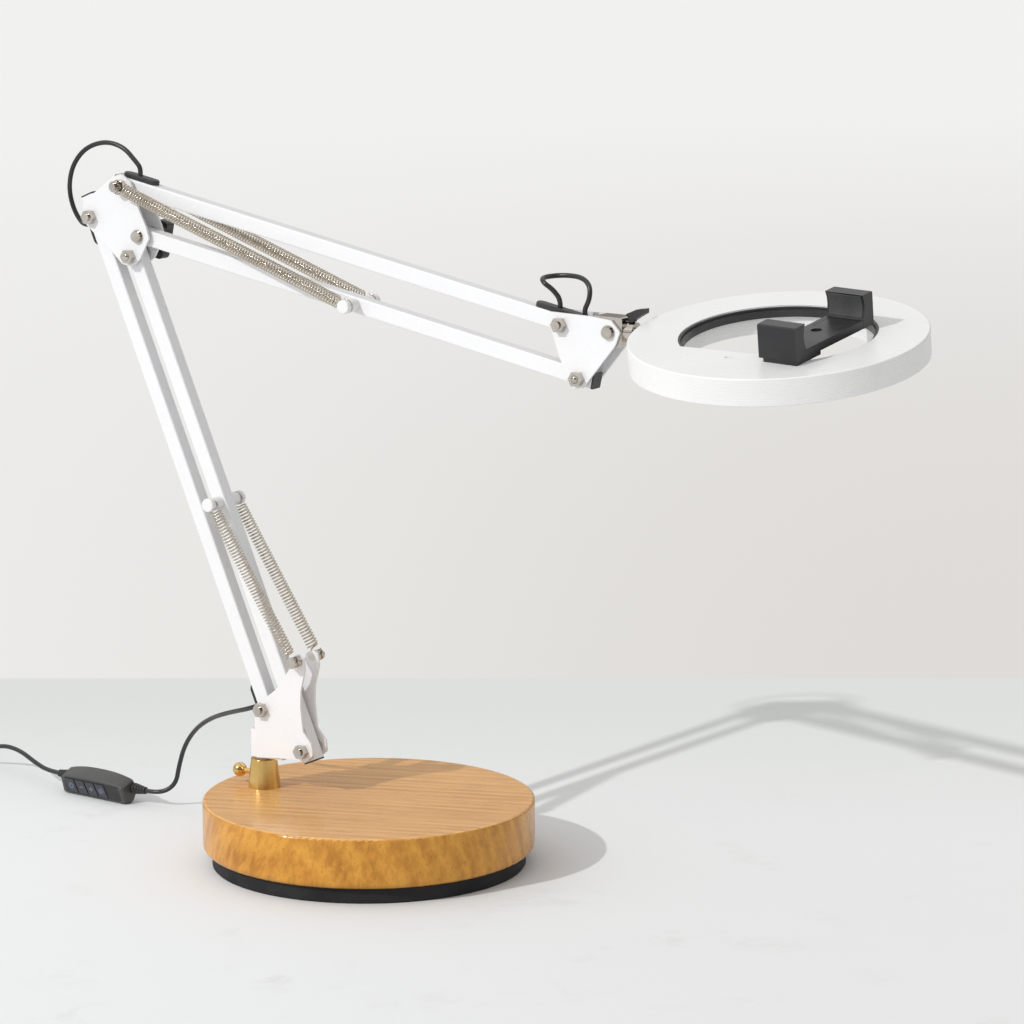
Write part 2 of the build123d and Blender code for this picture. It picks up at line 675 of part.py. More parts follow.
def make_ring():
    """White shell with its bridge, black lip, diffuser and the board with its lamps."""
    top = RING_HALF_HEIGHT
    stem_side = Plane(origin=RING.origin, x_dir=RING.y_dir, z_dir=RING.x_dir * -1)
    with BuildPart() as shell:
        annulus(RING.offset(top - RING_TOP), RING_RADIUS, RING_HOLE, RING_TOP)
        annulus(RING.offset(-top), RING_RADIUS, RING_RADIUS - RING_WALL, 2 * top - RING_TOP)
        annulus(RING.offset(-top), RING_HOLE + RING_WALL, RING_HOLE, 2 * top - RING_TOP)
        rims = shell.edges().filter_by(lambda edge: abs(edge.length - 2 * 3.14159 * RING_RADIUS) < 2)
        fillet(rims, 1.0)
        with BuildSketch(RING.offset(top - RING_TOP)):
            Circle(RING_HOLE + 0.5)
            with Locations((0, RING_HOLE - BRIDGE_EDGE)):
                Rectangle(3 * RING_HOLE, 2 * RING_HOLE, mode=Mode.SUBTRACT)
        extrude(amount=RING_TOP)
        with BuildSketch(RING.offset(top)):
            with Locations((-5.0, -61.0)):
                SlotOverall(8.0, 3.4)
        extrude(amount=-RING_TOP, mode=Mode.SUBTRACT)
        with BuildSketch(stem_side.offset(LED_CIRCLE + 11.5)):
            with Locations((0, 1.1)):
                Rectangle(18.0, 12.6)
        extrude(amount=RING_RADIUS - LED_CIRCLE - 11.5 - RING_WALL + 0.4)
        with BuildSketch(stem_side.offset(LED_CIRCLE + 11.5)):
            Circle(STEM_BORE)
        extrude(amount=RING_RADIUS, mode=Mode.SUBTRACT)
        with BuildSketch(CLAMP):
            with Locations(*clamp_screws()):
                Circle(1.65)
        extrude(amount=-RING_TOP, mode=Mode.SUBTRACT)
    save(shell.part, "ring_shell")

    with BuildPart() as lip:
        annulus(RING.offset(top - 1.0 - LIP_DEPTH), RING_HOLE - 0.1, RING_HOLE - 3.2, LIP_DEPTH - 1.6)
        annulus(RING.offset(top - 2.6), RING_HOLE - 0.1, RING_HOLE - 1.6, 1.6)
        with BuildSketch(RING.offset(-top)):
            with Locations((0, -RING_HOLE - BRIDGE_EDGE + 0.3)):
                Rectangle(3 * RING_HOLE, 2 * RING_HOLE)
        extrude(amount=3 * top, mode=Mode.SUBTRACT)
    save(lip.part, "ring_lip")

    with BuildPart() as diffuser:
        annulus(RING.offset(-top + 0.4), RING_RADIUS - RING_WALL - 0.1,
                RING_HOLE + RING_WALL + 0.1, 2.0)
    save(diffuser.part, "ring_diffuser")

    board_bottom = top - RING_TOP - 1.6
    with BuildPart() as board:
        annulus(RING.offset(board_bottom), RING_RADIUS - RING_WALL - 3.0, RING_HOLE + RING_WALL + 3.0,
                1.6)
        with BuildSketch(RING.offset(board_bottom)):
            with PolarLocations(LED_CIRCLE, LED_COUNT):
                Rectangle(3.0, 4.5)
        extrude(amount=-1.0)
    save(board.part, "led_board")


def clamp_screws():
    """Places of the two screws under the clamp's front jaw, in the clamp's own plane."""
    back = -CLAMP_LENGTH / 2 + 6.0
    return [(-6.0, back), (13.0, back)]


def make_clamp():
    """Foot plate, bar with its fixed front jaw, and the sliding back jaw."""
    half_width = CLAMP_WIDTH / 2
    front = -CLAMP_LENGTH / 2
    back = CLAMP_LENGTH / 2
    channel = CLAMP_WIDTH - 9.0
    channel_depth = 3.4
    bar_bottom = CLAMP.offset(CLAMP_LIFT)
    side = Plane(origin=CLAMP.origin - CLAMP.x_dir * half_width, x_dir=CLAMP.y_dir,
                 z_dir=CLAMP.x_dir)

    with BuildPart() as foot:
        with BuildSketch(CLAMP):
            with Locations((1.25, front + 16.0)):
                Rectangle(27.5, 30.0)
            with Locations((-6.0, front + 22.0)):
                Rectangle(20.0, 10.0, mode=Mode.SUBTRACT)
        extrude(amount=CLAMP_LIFT)
        with BuildSketch(CLAMP):
            with Locations(*clamp_screws()):
                Circle(1.6)
        extrude(amount=-RING_TOP)
    save(foot.part, "clamp_foot")

    with BuildPart() as body:
        with BuildSketch(side):
            with Locations(((front + back - JAW_THICKNESS) / 2 - 0.15, CLAMP_LIFT + CLAMP_BAR / 2)):
                Rectangle(CLAMP_LENGTH - JAW_THICKNESS - 0.3, CLAMP_BAR)
        extrude(amount=CLAMP_WIDTH)
        jaw(side, front, 1, CLAMP_LIFT, CLAMP_WIDTH)
        with BuildSketch(bar_bottom.offset(CLAMP_BAR)):
            with Locations((0, back - JAW_THICKNESS - TONGUE_LENGTH / 2)):
                Rectangle(channel, TONGUE_LENGTH + TONGUE_PLAY)
        extrude(amount=-channel_depth, mode=Mode.SUBTRACT)
        with BuildSketch(bar_bottom):
            with Locations((-2.9, 4.4)):
                Circle(4.0)
        extrude(amount=CLAMP_BAR, mode=Mode.SUBTRACT)
    save(body.part, "clamp_body")

    with BuildPart() as slider:
        jaw(side, back, -1, CLAMP_LIFT, CLAMP_WIDTH)
        with BuildSketch(bar_bottom.offset(CLAMP_BAR - channel_depth + 0.3)):
            with Locations((0, back - JAW_THICKNESS - TONGUE_LENGTH / 2 + 1.0)):
                Rectangle(channel - 0.6, TONGUE_LENGTH + 2.0)
        extrude(amount=channel_depth - 0.3)
    save(slider.part, "clamp_jaw")


def jaw(side, outer, inward, low, width):
    """Upright jaw with a hollowed inner face, added to the open part."""
    high = low + CLAMP_HEIGHT
    inner = outer + inward * JAW_THICKNESS
    with BuildSketch(side) as face:
        with BuildLine():
            Polyline((inner, low), (outer, low), (outer, high - 1.0), (outer + inward, high),
                     (inner, high))
            ThreePointArc((inner, high), (inner - inward * 2.2, (high + low + CLAMP_BAR) / 2),
                          (inner, low + CLAMP_BAR))
            Line((inner, low + CLAMP_BAR), (inner, low))
        make_face()
    extrude(face.sketch, amount=width)


# ------------------------------------------------------------------ controller and its cord


def make_controller():
    """Two-part case, its four buttons and the strain reliefs at its ends."""
    half = CONTROLLER_LENGTH / 2
    rise = Vector(FACE_TOP[0] - FACE_BOTTOM[0], FACE_TOP[1] - FACE_BOTTOM[1]).normalized()
    face_middle = Vector((FACE_TOP[0] + FACE_BOTTOM[0]) / 2, (FACE_TOP[1] + FACE_BOTTOM[1]) / 2, 0)
    out = CONTROLLER.x_dir * rise.Y - CONTROLLER.y_dir * rise.X
    panel = Plane(origin=CONTROLLER.from_local_coords(face_middle),
                  x_dir=CONTROLLER.z_dir * -1, z_dir=out)
    height = (Vector(*FACE_TOP) - Vector(*FACE_BOTTOM)).length
    cover = 2.0

    with BuildPart() as back:
        with BuildSketch(CONTROLLER.offset(-half)) as outline:
            with BuildLine():
                Polyline(*CONTROLLER_OUTLINE, close=True)
            make_face()
            fillet(outline.vertices(), 2.6)
        extrude(amount=CONTROLLER_LENGTH)
        ends = back.faces().filter_by(Axis(CONTROLLER.origin, CONTROLLER.z_dir))
        chamfer(ends.edges(), 2.0)
        with BuildSketch(CONTROLLER.offset(-half + 5.0)):
            with BuildLine():
                Polyline(*CONTROLLER_OUTLINE, close=True)
            make_face()
            offset(amount=-CONTROLLER_WALL - 0.4)
        extrude(amount=CONTROLLER_LENGTH - 10.0, mode=Mode.SUBTRACT)
        with BuildSketch(panel):
            RectangleRounded(CONTROLLER_LENGTH - 8.0, height - 4.0, 2.0)
        extrude(amount=-cover - 0.3, mode=Mode.SUBTRACT)
        with BuildSketch(panel):
            RectangleRounded(CONTROLLER_LENGTH - 8.0, height - 4.0, 2.0)
        extrude(amount=1.0, mode=Mode.SUBTRACT)
    save(back.part, "controller_back")

    with BuildPart() as front:
        with BuildSketch(panel):
            RectangleRounded(CONTROLLER_LENGTH - 8.3, height - 4.3, 1.9)
            with Locations(*button_places()):
                button_outline(0.15)
        extrude(amount=-cover)
    save(front.part, "controller_front")

    for number, place in enumerate(button_places(), start=1):
        with BuildPart() as button:
            with BuildSketch(panel.offset(-cover - 0.1)):
                with Locations(place):
                    button_outline(0.0, mode=Mode.ADD)
            extrude(amount=cover + 0.1 + BUTTON_RISE)
        save(button.part, f"button_{number}")

    with BuildPart() as reliefs:
        for side in (-1, 1):
            for index in range(5):
                radius = (4.4, 3.4, 4.0, 3.1, 3.5)[index]
                start = half + index * RELIEF_LENGTH / 5
                centre = CONTROLLER.from_local_coords(Vector(-CORD_BACK, CORD_HEIGHT, 0))
                end = Plane(origin=centre, x_dir=CONTROLLER.x_dir, z_dir=CONTROLLER.z_dir * side)
                with BuildSketch(end.offset(start)):
                    Circle(radius)
                extrude(amount=RELIEF_LENGTH / 5)
    save(reliefs.part, "strain_reliefs")


def button_places():
    """Middles of the buttons along the controller's face."""
    first = -BUTTON_PITCH * (BUTTON_COUNT - 1) / 2 - 6.0
    return [(first + BUTTON_PITCH * index, 0) for index in range(BUTTON_COUNT)]


def button_outline(gap, mode=Mode.SUBTRACT):
    """Leaning four-sided button, grown by a gap."""
    half_width = BUTTON_WIDTH / 2 + gap
    half_height = BUTTON_HEIGHT / 2 + gap
    lean = 1.6
    Polygon((-half_width + lean, -half_height), (half_width + lean, -half_height),
            (half_width - lean, half_height), (-half_width - lean, half_height),
            align=None, mode=mode)


def make_coil():
    """Spare cord wound in one coil, and the plug beside it."""
    with BuildPart() as coil:
        with BuildSketch(Plane.XY.offset(0.2)):
            with Locations(COIL_AT):
                Circle(COIL_RADIUS)
                Circle(COIL_EYE, mode=Mode.SUBTRACT)
        extrude(amount=COIL_HEIGHT)
        fillet(coil.edges().filter_by(GeomType.CIRCLE), 3.0)
    save(coil.part, "cord_coil")

    length, width, thickness = PLUG_BODY
    middle = thickness / 2 + 0.2
    with BuildPart() as body:
        with BuildSketch(Plane(origin=(*PLUG_AT, middle), x_dir=(0, 1, 0), z_dir=(1, 0, 0))):
            RectangleRounded(width, thickness, 2.5)
        extrude(amount=length)
        with BuildSketch(Plane(origin=(*PLUG_AT, middle), x_dir=(0, 1, 0), z_dir=(-1, 0, 0))):
            Circle(3.0)
        extrude(amount=8.0)
    save(body.part, "plug_body")

    shell_length, shell_width, shell_thickness = PLUG_SHELL
    with BuildPart() as shell:
        with BuildSketch(Plane(origin=(PLUG_AT[0] + length, PLUG_AT[1], middle),
                               x_dir=(0, 1, 0), z_dir=(1, 0, 0))):
            Rectangle(shell_width, shell_thickness)
            Rectangle(shell_width - 0.8, shell_thickness - 0.8, mode=Mode.SUBTRACT)
        extrude(amount=shell_length)
        with BuildSketch(Plane(origin=(PLUG_AT[0] + length, PLUG_AT[1], middle),
                               x_dir=(0, 1, 0), z_dir=(1, 0, 0))):
            with Locations((0, 0.9)):
                Rectangle(shell_width - 0.8, 1.9)
        extrude(amount=shell_length - 1.5)
    save(shell.part, "plug_shell")


# ------------------------------------------------------------------ cords

LEAD_EXIT = 4.0
ELBOW_EXIT = 4.0
ELBOW_ENTRY = 9.6
HEAD_EXIT = 8.0


def on_tube(start, way, distance, height):
    """Point above a tube's outer face."""
    return outer_face(start, way, distance, height).origin


def relief_end(side):
    """Outer end of a strain relief: +1 is the plug's side, -1 the lamp's."""
    reach = side * (CONTROLLER_LENGTH / 2 + RELIEF_LENGTH)
    return CONTROLLER.from_local_coords(Vector(-CORD_BACK, CORD_HEIGHT, reach))


def make_cords():
    """Loops at the elbow and head, the lead to the controller and the tail to the coil."""
    y = ARM_Y
    inside = HALF_TUBE - TUBE_WALL
    elbow = [
        on_tube(REAR_FOOT, LOWER_WAY, ARM_LENGTH - ELBOW_EXIT, inside),
        on_tube(REAR_FOOT, LOWER_WAY, ARM_LENGTH - ELBOW_EXIT, 15.5),
        (-259.5, y, 483.0), (-265.0, y, 495.5), (-266.0, y, 509.0), (-261.0, y, 524.0),
        (-248.5, y, 536.5), (-230.0, y, 542.0), (-213.0, y, 538.5), (-202.0, y, 528.5),
        on_tube(TOP_ELBOW, UPPER_WAY, ELBOW_ENTRY, 14.5),
        on_tube(TOP_ELBOW, UPPER_WAY, ELBOW_ENTRY, inside),
    ]
    save(cord(elbow, "elbow_cable"), "elbow_cable")

    port = cord_port(-BLOCK_BEHIND)
    head = [
        on_tube(TOP_ELBOW, UPPER_WAY, ARM_LENGTH - HEAD_EXIT, inside),
        on_tube(TOP_ELBOW, UPPER_WAY, ARM_LENGTH - HEAD_EXIT, 14.0),
        (176.5, y - 5.0, 456.0), (170.0, y - 8.0, 461.0), (164.4, y - 1.0, 463.4),
        (168.5, y + 8.5, 464.2), (180.0, y + 11.0, 465.0), (193.5, y + 8.0, 464.5),
        (202.5, y + 3.5, 459.5), (203.5, y + 1.0, 450.0), (199.5, y, 442.0),
        (202.0, y, 435.5),
        port.origin + port.z_dir * 3.0,
        port.origin - port.z_dir * 3.5,
    ]
    save(cord(head, "head_cable"), "head_cable")

    right_end = relief_end(-1)
    lead = [
        on_tube(REAR_FOOT, LOWER_WAY, LEAD_EXIT, inside),
        on_tube(REAR_FOOT, LOWER_WAY, LEAD_EXIT, 18.0),
        (-129.0, 0.0, 101.5), (-161.0, 20.0, 89.5), (-190.0, 38.0, 74.0), (-211.0, 50.0, 54.5),
        (-220.5, 54.5, 34.0), (-223.5, 55.0, 21.0), (-230.5, 51.5, 13.8),
        right_end - CONTROLLER.z_dir * 9.0,
        right_end,
    ]
    save(cord(lead, "cord_lead"), "cord_lead")

    left_end = relief_end(1)
    tail = [
        left_end,
        left_end + CONTROLLER.z_dir * 14.0,
        (-376.0, 65.0, 16.0), (-398.0, 74.0, 21.0), (-421.0, 81.0, 22.0), (-442.0, 84.5, 14.5),
        beside_coil(-20.0, 16.0), beside_coil(-20.0, 0.15),
    ]
    with BuildPart() as pieces:
        add(cord(tail, "cord_tail"))
        add(cord(plug_route(), "plug cord"))
    save(pieces.part, "cord_tail")


def plug_route():
    """Short end of cord from the coil round to the plug."""
    start_x = PLUG_AT[0] - 8.0
    middle = PLUG_BODY[2] / 2 + 0.2
    return [
        (start_x, PLUG_AT[1], middle), (start_x - 13.0, PLUG_AT[1], middle),
        (start_x - 29.0, PLUG_AT[1] + 3.0, middle), (start_x - 40.0, PLUG_AT[1] + 13.0, middle),
        (start_x - 42.5, PLUG_AT[1] + 25.0, middle),
        beside_coil(185.0, 18.0), beside_coil(185.0, 0.15),
    ]


def beside_coil(bearing, gap):
    """Point outside the coil, at a bearing in degrees and a gap from its rim."""
    reach = COIL_RADIUS + gap
    return (COIL_AT[0] + reach * cos(radians(bearing)), COIL_AT[1] + reach * sin(radians(bearing)),
            5.0)


def main():
    """Build every piece."""
    os.makedirs("parts", exist_ok=True)
    make_base()
    make_socket()
    make_post()
    make_lower_bracket()

    rear = (TUBE_OVERHANG, LONG_OVERHANG)
    front = (TUBE_OVERHANG, SHORT_OVERHANG)
    top = (TUBE_OVERHANG, TUBE_OVERHANG)
    bottom = (SHORT_OVERHANG, TUBE_OVERHANG)
    make_tube(REAR_FOOT, LOWER_WAY, rear, "lower_rear_tube",
              cord_holes=(LEAD_EXIT, ARM_LENGTH - ELBOW_EXIT))
    make_tube(FRONT_FOOT, LOWER_WAY, front, "lower_front_tube", pin=LOWER_PIN)
    make_tube(TOP_ELBOW, UPPER_WAY, top, "upper_top_tube",
              cord_holes=(ELBOW_ENTRY, ARM_LENGTH - HEAD_EXIT))
    make_tube(BOTTOM_ELBOW, UPPER_WAY, bottom, "upper_bottom_tube", pin=UPPER_PIN)
    make_caps(REAR_FOOT, LOWER_WAY, rear, "lower_rear_caps")
    make_caps(FRONT_FOOT, LOWER_WAY, front, "lower_front_caps")
    make_caps(TOP_ELBOW, UPPER_WAY, top, "upper_top_caps")
    make_caps(BOTTOM_ELBOW, UPPER_WAY, bottom, "upper_bottom_caps")
    top_hole = ARM_LENGTH - ELBOW_EXIT
    make_grommets(REAR_FOOT, LOWER_WAY, [(LEAD_EXIT + 7.0, LOWER_GROMMET_LENGTH, LEAD_EXIT),
                                         (top_hole - 7.0, LOWER_GROMMET_LENGTH, top_hole)],
                  "lower_grommets")
    make_grommets(TOP_ELBOW, UPPER_WAY,
                  [(11.0, ELBOW_GROMMET_LENGTH, ELBOW_ENTRY),
                   (ARM_LENGTH - 8.25, HEAD_GROMMET_LENGTH, ARM_LENGTH - HEAD_EXIT)],
                  "upper_grommets")
    make_spring_pin(LOWER_PIN, "lower_spring_pin")
    make_spring_pin(UPPER_PIN, "upper_spring_pin")
    make_springs(LOWER_PIN, SPRING_STUD, "lower_springs")
    make_springs(TOP_ELBOW, UPPER_PIN, "upper_springs")

    make_elbow()
    make_head()
    make_ring()
    make_clamp()
    make_controller()
    make_coil()
    make_cords()


if __name__ == "__main__":
    main()
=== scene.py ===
"""Looks of a spring-balanced desk lamp with a ring light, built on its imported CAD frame."""

import json
import logging
import math
from dataclasses import dataclass
from enum import Enum
from typing import Callable, Sequence

import bmesh
import bpy
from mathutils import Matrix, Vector


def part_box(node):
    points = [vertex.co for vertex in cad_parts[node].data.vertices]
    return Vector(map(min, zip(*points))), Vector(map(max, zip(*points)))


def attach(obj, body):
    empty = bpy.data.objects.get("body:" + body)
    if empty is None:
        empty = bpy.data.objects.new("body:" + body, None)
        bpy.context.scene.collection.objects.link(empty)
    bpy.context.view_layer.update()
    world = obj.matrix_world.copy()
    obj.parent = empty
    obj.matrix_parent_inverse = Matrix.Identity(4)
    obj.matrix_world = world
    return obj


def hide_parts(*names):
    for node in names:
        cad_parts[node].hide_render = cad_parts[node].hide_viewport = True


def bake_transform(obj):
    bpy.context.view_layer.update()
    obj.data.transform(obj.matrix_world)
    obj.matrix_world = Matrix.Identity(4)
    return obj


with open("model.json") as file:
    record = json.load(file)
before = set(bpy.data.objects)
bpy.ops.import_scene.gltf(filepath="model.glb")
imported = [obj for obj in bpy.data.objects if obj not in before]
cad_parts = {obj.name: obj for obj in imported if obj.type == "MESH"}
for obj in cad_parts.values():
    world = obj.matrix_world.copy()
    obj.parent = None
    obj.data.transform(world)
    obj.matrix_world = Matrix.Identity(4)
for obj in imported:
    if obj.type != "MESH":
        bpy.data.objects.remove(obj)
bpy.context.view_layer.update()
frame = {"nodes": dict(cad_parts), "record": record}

LOG = logging.getLogger("lamp")
MM = 0.001
TAU = 2 * math.pi
Colour = tuple[float, float, float]
Stroke = tuple[tuple[float, float], tuple[float, float]]


def mm(x: float, y: float, z: float) -> Vector:
    """A point or step written in millimetres, in metres."""
    return Vector((x, y, z)) * MM


# ------------------------------------------------------------------ main places and sizes
# Points and ways are in metres; ARM_Y, CASE_HALF and RELIEF_SPAN are in millimetres.

ARM_Y = -15.0
SPRING_STUD = mm(-47.3, ARM_Y, 156.2)
LOWER_PIN = mm(-122.24, ARM_Y, 271.1)
TOP_ELBOW = mm(-208.08, ARM_Y, 509.78)
UPPER_PIN = mm(3.84, ARM_Y, 432.65)
SPRING_SIDE = mm(0, 16.3, 0)

RING_CENTRE = mm(359.165, ARM_Y, 427.570)
RING_X = Vector((0.999925, 0.0, -0.012217))
RING_Y = Vector((0.001985, 0.986714, 0.162453))
RING_N = Vector((0.012055, -0.162465, 0.986641))
CLAMP_TURN = math.radians(-5.0)
CLAMP_X = RING_X * math.cos(CLAMP_TURN) + RING_Y * math.sin(CLAMP_TURN)
CLAMP_Y = RING_Y * math.cos(CLAMP_TURN) - RING_X * math.sin(CLAMP_TURN)
CLAMP_CENTRE = RING_CENTRE + (RING_X * 38.9 - RING_Y * 15.2 + RING_N * 10.0) * MM

CONTROLLER_AT = mm(-297.2, 47.0, 0)
TO_PLUG = Vector((-0.99452, 0.10453, 0))
TO_FRONT = Vector((-0.10453, -0.99452, 0))
UP = Vector((0, 0, 1))
CORD_DIAMETER = 3.7 * MM
CORD_INSET = 6.0 * MM
CORD_HEIGHT = 12.2 * MM
CASE_HALF = 34.5
RELIEF_SPAN = 13.5
HALF_CONTROLLER = CASE_HALF * MM
RELIEF_LENGTH = RELIEF_SPAN * MM


def on_controller(forward: float, height: float, along: float) -> Vector:
    """Point in the controller's own frame.

    Args:
        forward: distance towards the buttons, in metres.
        height: distance above the floor.
        along: distance towards the plug.

    Returns:
        The point in the row frame.
    """
    return CONTROLLER_AT + TO_FRONT * forward + UP * height + TO_PLUG * along


# ------------------------------------------------------------------ meshes


def add_object(name: str, data: bpy.types.ID) -> bpy.types.Object:
    """Put a mesh or curve into the scene.

    Args:
        name: the piece's name.
        data: its mesh or curve.

    Returns:
        The new object.
    """
    made = bpy.data.objects.new(name, data)
    bpy.context.scene.collection.objects.link(made)
    return made


def add_mesh(name: str, points: Sequence[Vector], faces: Sequence[tuple[int, ...]],
             smooth: bool = True) -> bpy.types.Object:
    """Make a mesh object with its faces turned outwards.

    Args:
        name: the piece's name.
        points: corners, in metres.
        faces: corner numbers of each face.
        smooth: whether its faces shade smoothly.

    Returns:
        The new object.
    """
    mesh = bpy.data.meshes.new(name)
    mesh.from_pydata([tuple(p) for p in points], [], faces)
    mesh.validate()
    made = add_object(name, mesh)
    work = bmesh.new()
    work.from_mesh(mesh)
    bmesh.ops.recalc_face_normals(work, faces=work.faces)
    work.to_mesh(mesh)
    work.free()
    if smooth:
        mesh.shade_smooth()
    else:
        mesh.shade_flat()
    return made


def tube_faces(rings: int, sides: int) -> list[tuple[int, ...]]:
    """Faces of a closed tube whose points are numbered ring after ring.

    Args:
        rings: how many rings of points there are.
        sides: points in each ring.

    Returns:
        Corner numbers of each side face, then of the two end caps.
    """
    faces: list[tuple[int, ...]] = []
    for i in range(rings - 1):
        for k in range(sides):
            n = (k + 1) % sides
            faces.append((i * sides + k, i * sides + n, (i + 1) * sides + n, (i + 1) * sides + k))
    last = (rings - 1) * sides
    return faces + [tuple(range(sides)), tuple(range(last, last + sides))]


def square_axes(way: Vector) -> tuple[Vector, Vector]:
    """Two directions that are square to a way and to each other."""
    side = way.cross(UP if abs(way.z) < 0.9 else Vector((1, 0, 0))).normalized()
    return side, way.cross(side).normalized()


def sweep(name: str, path: Sequence[Vector], radius: float, sides: int = 12) -> bpy.types.Object:
    """Round tube that follows a path, closed at both ends.

    Args:
        name: the piece's name.
        path: points of its middle line.
        radius: its radius.
        sides: corners of its cross section.

    Returns:
        The new mesh object.
    """
    ways = [(path[min(i + 1, len(path) - 1)] - path[max(i - 1, 0)]).normalized()
            for i in range(len(path))]
    side = square_axes(ways[0])[0]
    points: list[Vector] = []
    for place, way in zip(path, ways):
        side = (side - way * side.dot(way)).normalized()
        other = way.cross(side)
        for k in range(sides):
            angle = TAU * k / sides
            points.append(place + (side * math.cos(angle) + other * math.sin(angle)) * radius)
    tube = add_mesh(name, points, tube_faces(len(path), sides))
    tube.data.set_sharp_from_angle(angle=math.radians(60))
    return tube


def turned(name: str, start: Vector, way: Vector, profile: Sequence[tuple[float, float]],
           sides: int = 40) -> bpy.types.Object:
    """Solid turned on a lathe.

    Args:
        name: the piece's name.
        start: point where the axis starts.
        way: direction of the axis.
        profile: pairs of distance along the axis and radius, in millimetres.
        sides: corners of its cross section.

    Returns:
        The new mesh object.
    """
    side, other = square_axes(way)
    points: list[Vector] = []
    for along, radius in profile:
        for k in range(sides):
            angle = TAU * k / sides
            out = side * math.cos(angle) + other * math.sin(angle)
            points.append(start + (way * along + out * radius) * MM)
    return add_mesh(name, points, tube_faces(len(profile), sides))


def spline(name: str, points: Sequence[Vector], radius: float = 0.0) -> bpy.types.Object:
    """Smooth open curve whose control points are a cord's route.

    Args:
        name: the curve's name.
        points: control points, in metres.
        radius: radius of the cord, or 0 for a bare line.

    Returns:
        The new curve object.
    """
    curve = bpy.data.curves.new(name, "CURVE")
    curve.dimensions = "3D"
    curve.resolution_u = 6
    line = curve.splines.new("NURBS")
    line.points.add(len(points) - 1)
    for point, place in zip(line.points, points):
        point.co = (*place, 1.0)
    line.order_u = 3
    line.use_endpoint_u = True
    curve.bevel_depth = radius
    curve.bevel_resolution = 5
    curve.use_fill_caps = radius > 0
    return add_object(name, curve)


def smooth_line(points: Sequence[Vector]) -> list[Vector]:
    """Points read from the smooth curve through a cord's route.

    Args:
        points: control points, in metres.

    Returns:
        Points along the curve, in order.
    """
    line = spline("route", points)
    line.data.resolution_u = 10
    mesh = bpy.data.meshes.new_from_object(line)
    read = [v.co.copy() for v in mesh.vertices]
    data = line.data
    bpy.data.objects.remove(line)
    bpy.data.curves.remove(data)
    bpy.data.meshes.remove(mesh)
    return read


# ------------------------------------------------------------------ shader node groups


class Graph:
    """Places and joins the nodes of a material or a node group."""

    def __init__(self, tree: bpy.types.NodeTree) -> None:
        """Start on a node tree."""
        self.tree = tree

    def node(self, kind: str, inputs: dict | None = None, **options: object) -> bpy.types.Node:
        """Place a node.

        Args:
            kind: the node's type, without its ShaderNode prefix.
            inputs: values or output sockets for its inputs, by name or number.
            options: values of its own properties.

        Returns:
            The new node.
        """
        made = self.tree.nodes.new("ShaderNode" + kind)
        for key, value in options.items():
            setattr(made, key, value)
        for key, value in (inputs or {}).items():
            if isinstance(value, bpy.types.NodeSocket):
                self.tree.links.new(value, made.inputs[key])
            else:
                made.inputs[key].default_value = value
        return made

    def math(self, operation: str, a: object, b: object = 0.0) -> bpy.types.NodeSocket:
        """Result of a sum on two values or sockets."""
        return self.node("Math", {0: a, 1: b}, operation=operation).outputs[0]

    def group(self, tree: bpy.types.NodeTree, inputs: dict) -> bpy.types.Node:
        """Place a node group with its own values.

        Args:
            tree: the group.
            inputs: values of its inputs, by name.

        Returns:
            The new node.
        """
        made = self.tree.nodes.new("ShaderNodeGroup")
        made.node_tree = tree
        for key, value in inputs.items():
            made.inputs[key].default_value = value
        return made

    def mix(self, share: bpy.types.NodeSocket, a: object, b: object) -> bpy.types.NodeSocket:
        """Colour between two colours or sockets.

        Args:
            share: 0 for the first, 1 for the second.
            a: first colour or socket.
            b: second colour or socket.

        Returns:
            The mixed colour's socket.
        """
        made = self.node("Mix", data_type="RGBA")
        for key, value in ((0, share), (6, a), (7, b)):
            if isinstance(value, bpy.types.NodeSocket):
                self.tree.links.new(value, made.inputs[key])
            else:
                made.inputs[key].default_value = (*value, 1.0)
        return made.outputs[2]

    def ramp(self, value: object, low: float, high: float) -> bpy.types.NodeSocket:
        """Value spread from 0 at low to 1 at high, and held beyond."""
        return self.node("MapRange", {"Value": value, "From Min": low, "From Max": high},
                         interpolation_type="SMOOTHSTEP").outputs[0]


class Effect(Enum):
    """Surface effects that several finishes share."""

    SKIN = "fine skin"
    HANDLING = "handling marks"
    GRAIN = "wood grain"
    LAYERS = "layer lines"


def open_group(effect: Effect, inputs: dict[str, float], outputs: Sequence[str]
               ) -> tuple[Graph, bpy.types.Node, bpy.types.Node]:
    """Start a node group.

    Args:
        effect: the effect that names it.
        inputs: its inputs and their usual values.
        outputs: names of its outputs.

    Returns:
        The graph, and its input and output nodes.
    """
    tree = bpy.data.node_groups.new(effect.value, "ShaderNodeTree")
    for name, value in inputs.items():
        socket = tree.interface.new_socket(name, in_out="INPUT", socket_type="NodeSocketFloat")
        socket.default_value = value
    for name in outputs:
        tree.interface.new_socket(name, in_out="OUTPUT", socket_type="NodeSocketFloat")
    return Graph(tree), tree.nodes.new("NodeGroupInput"), tree.nodes.new("NodeGroupOutput")


def skin_group() -> bpy.types.NodeTree:
    """Orange-peel or moulded texture: a height and a soft mask, both from the piece's own place.

    Returns:
        The group's node tree.
    """
    g, start, end = open_group(Effect.SKIN, {"Scale": 900.0, "Patch Scale": 30.0},
                               ["Height", "Patch"])
    place = g.node("TexCoord").outputs["Object"]
    fine = g.node("TexNoise", {"Vector": place, "Scale": start.outputs["Scale"], "Detail": 2.0})
    wide = g.node("TexNoise", {"Vector": place, "Scale": start.outputs["Patch Scale"],
                               "Detail": 3.0})
    g.tree.links.new(fine.outputs["Fac"], end.inputs["Height"])
    g.tree.links.new(g.ramp(wide.outputs["Fac"], 0.35, 0.65), end.inputs["Patch"])
    return g.tree


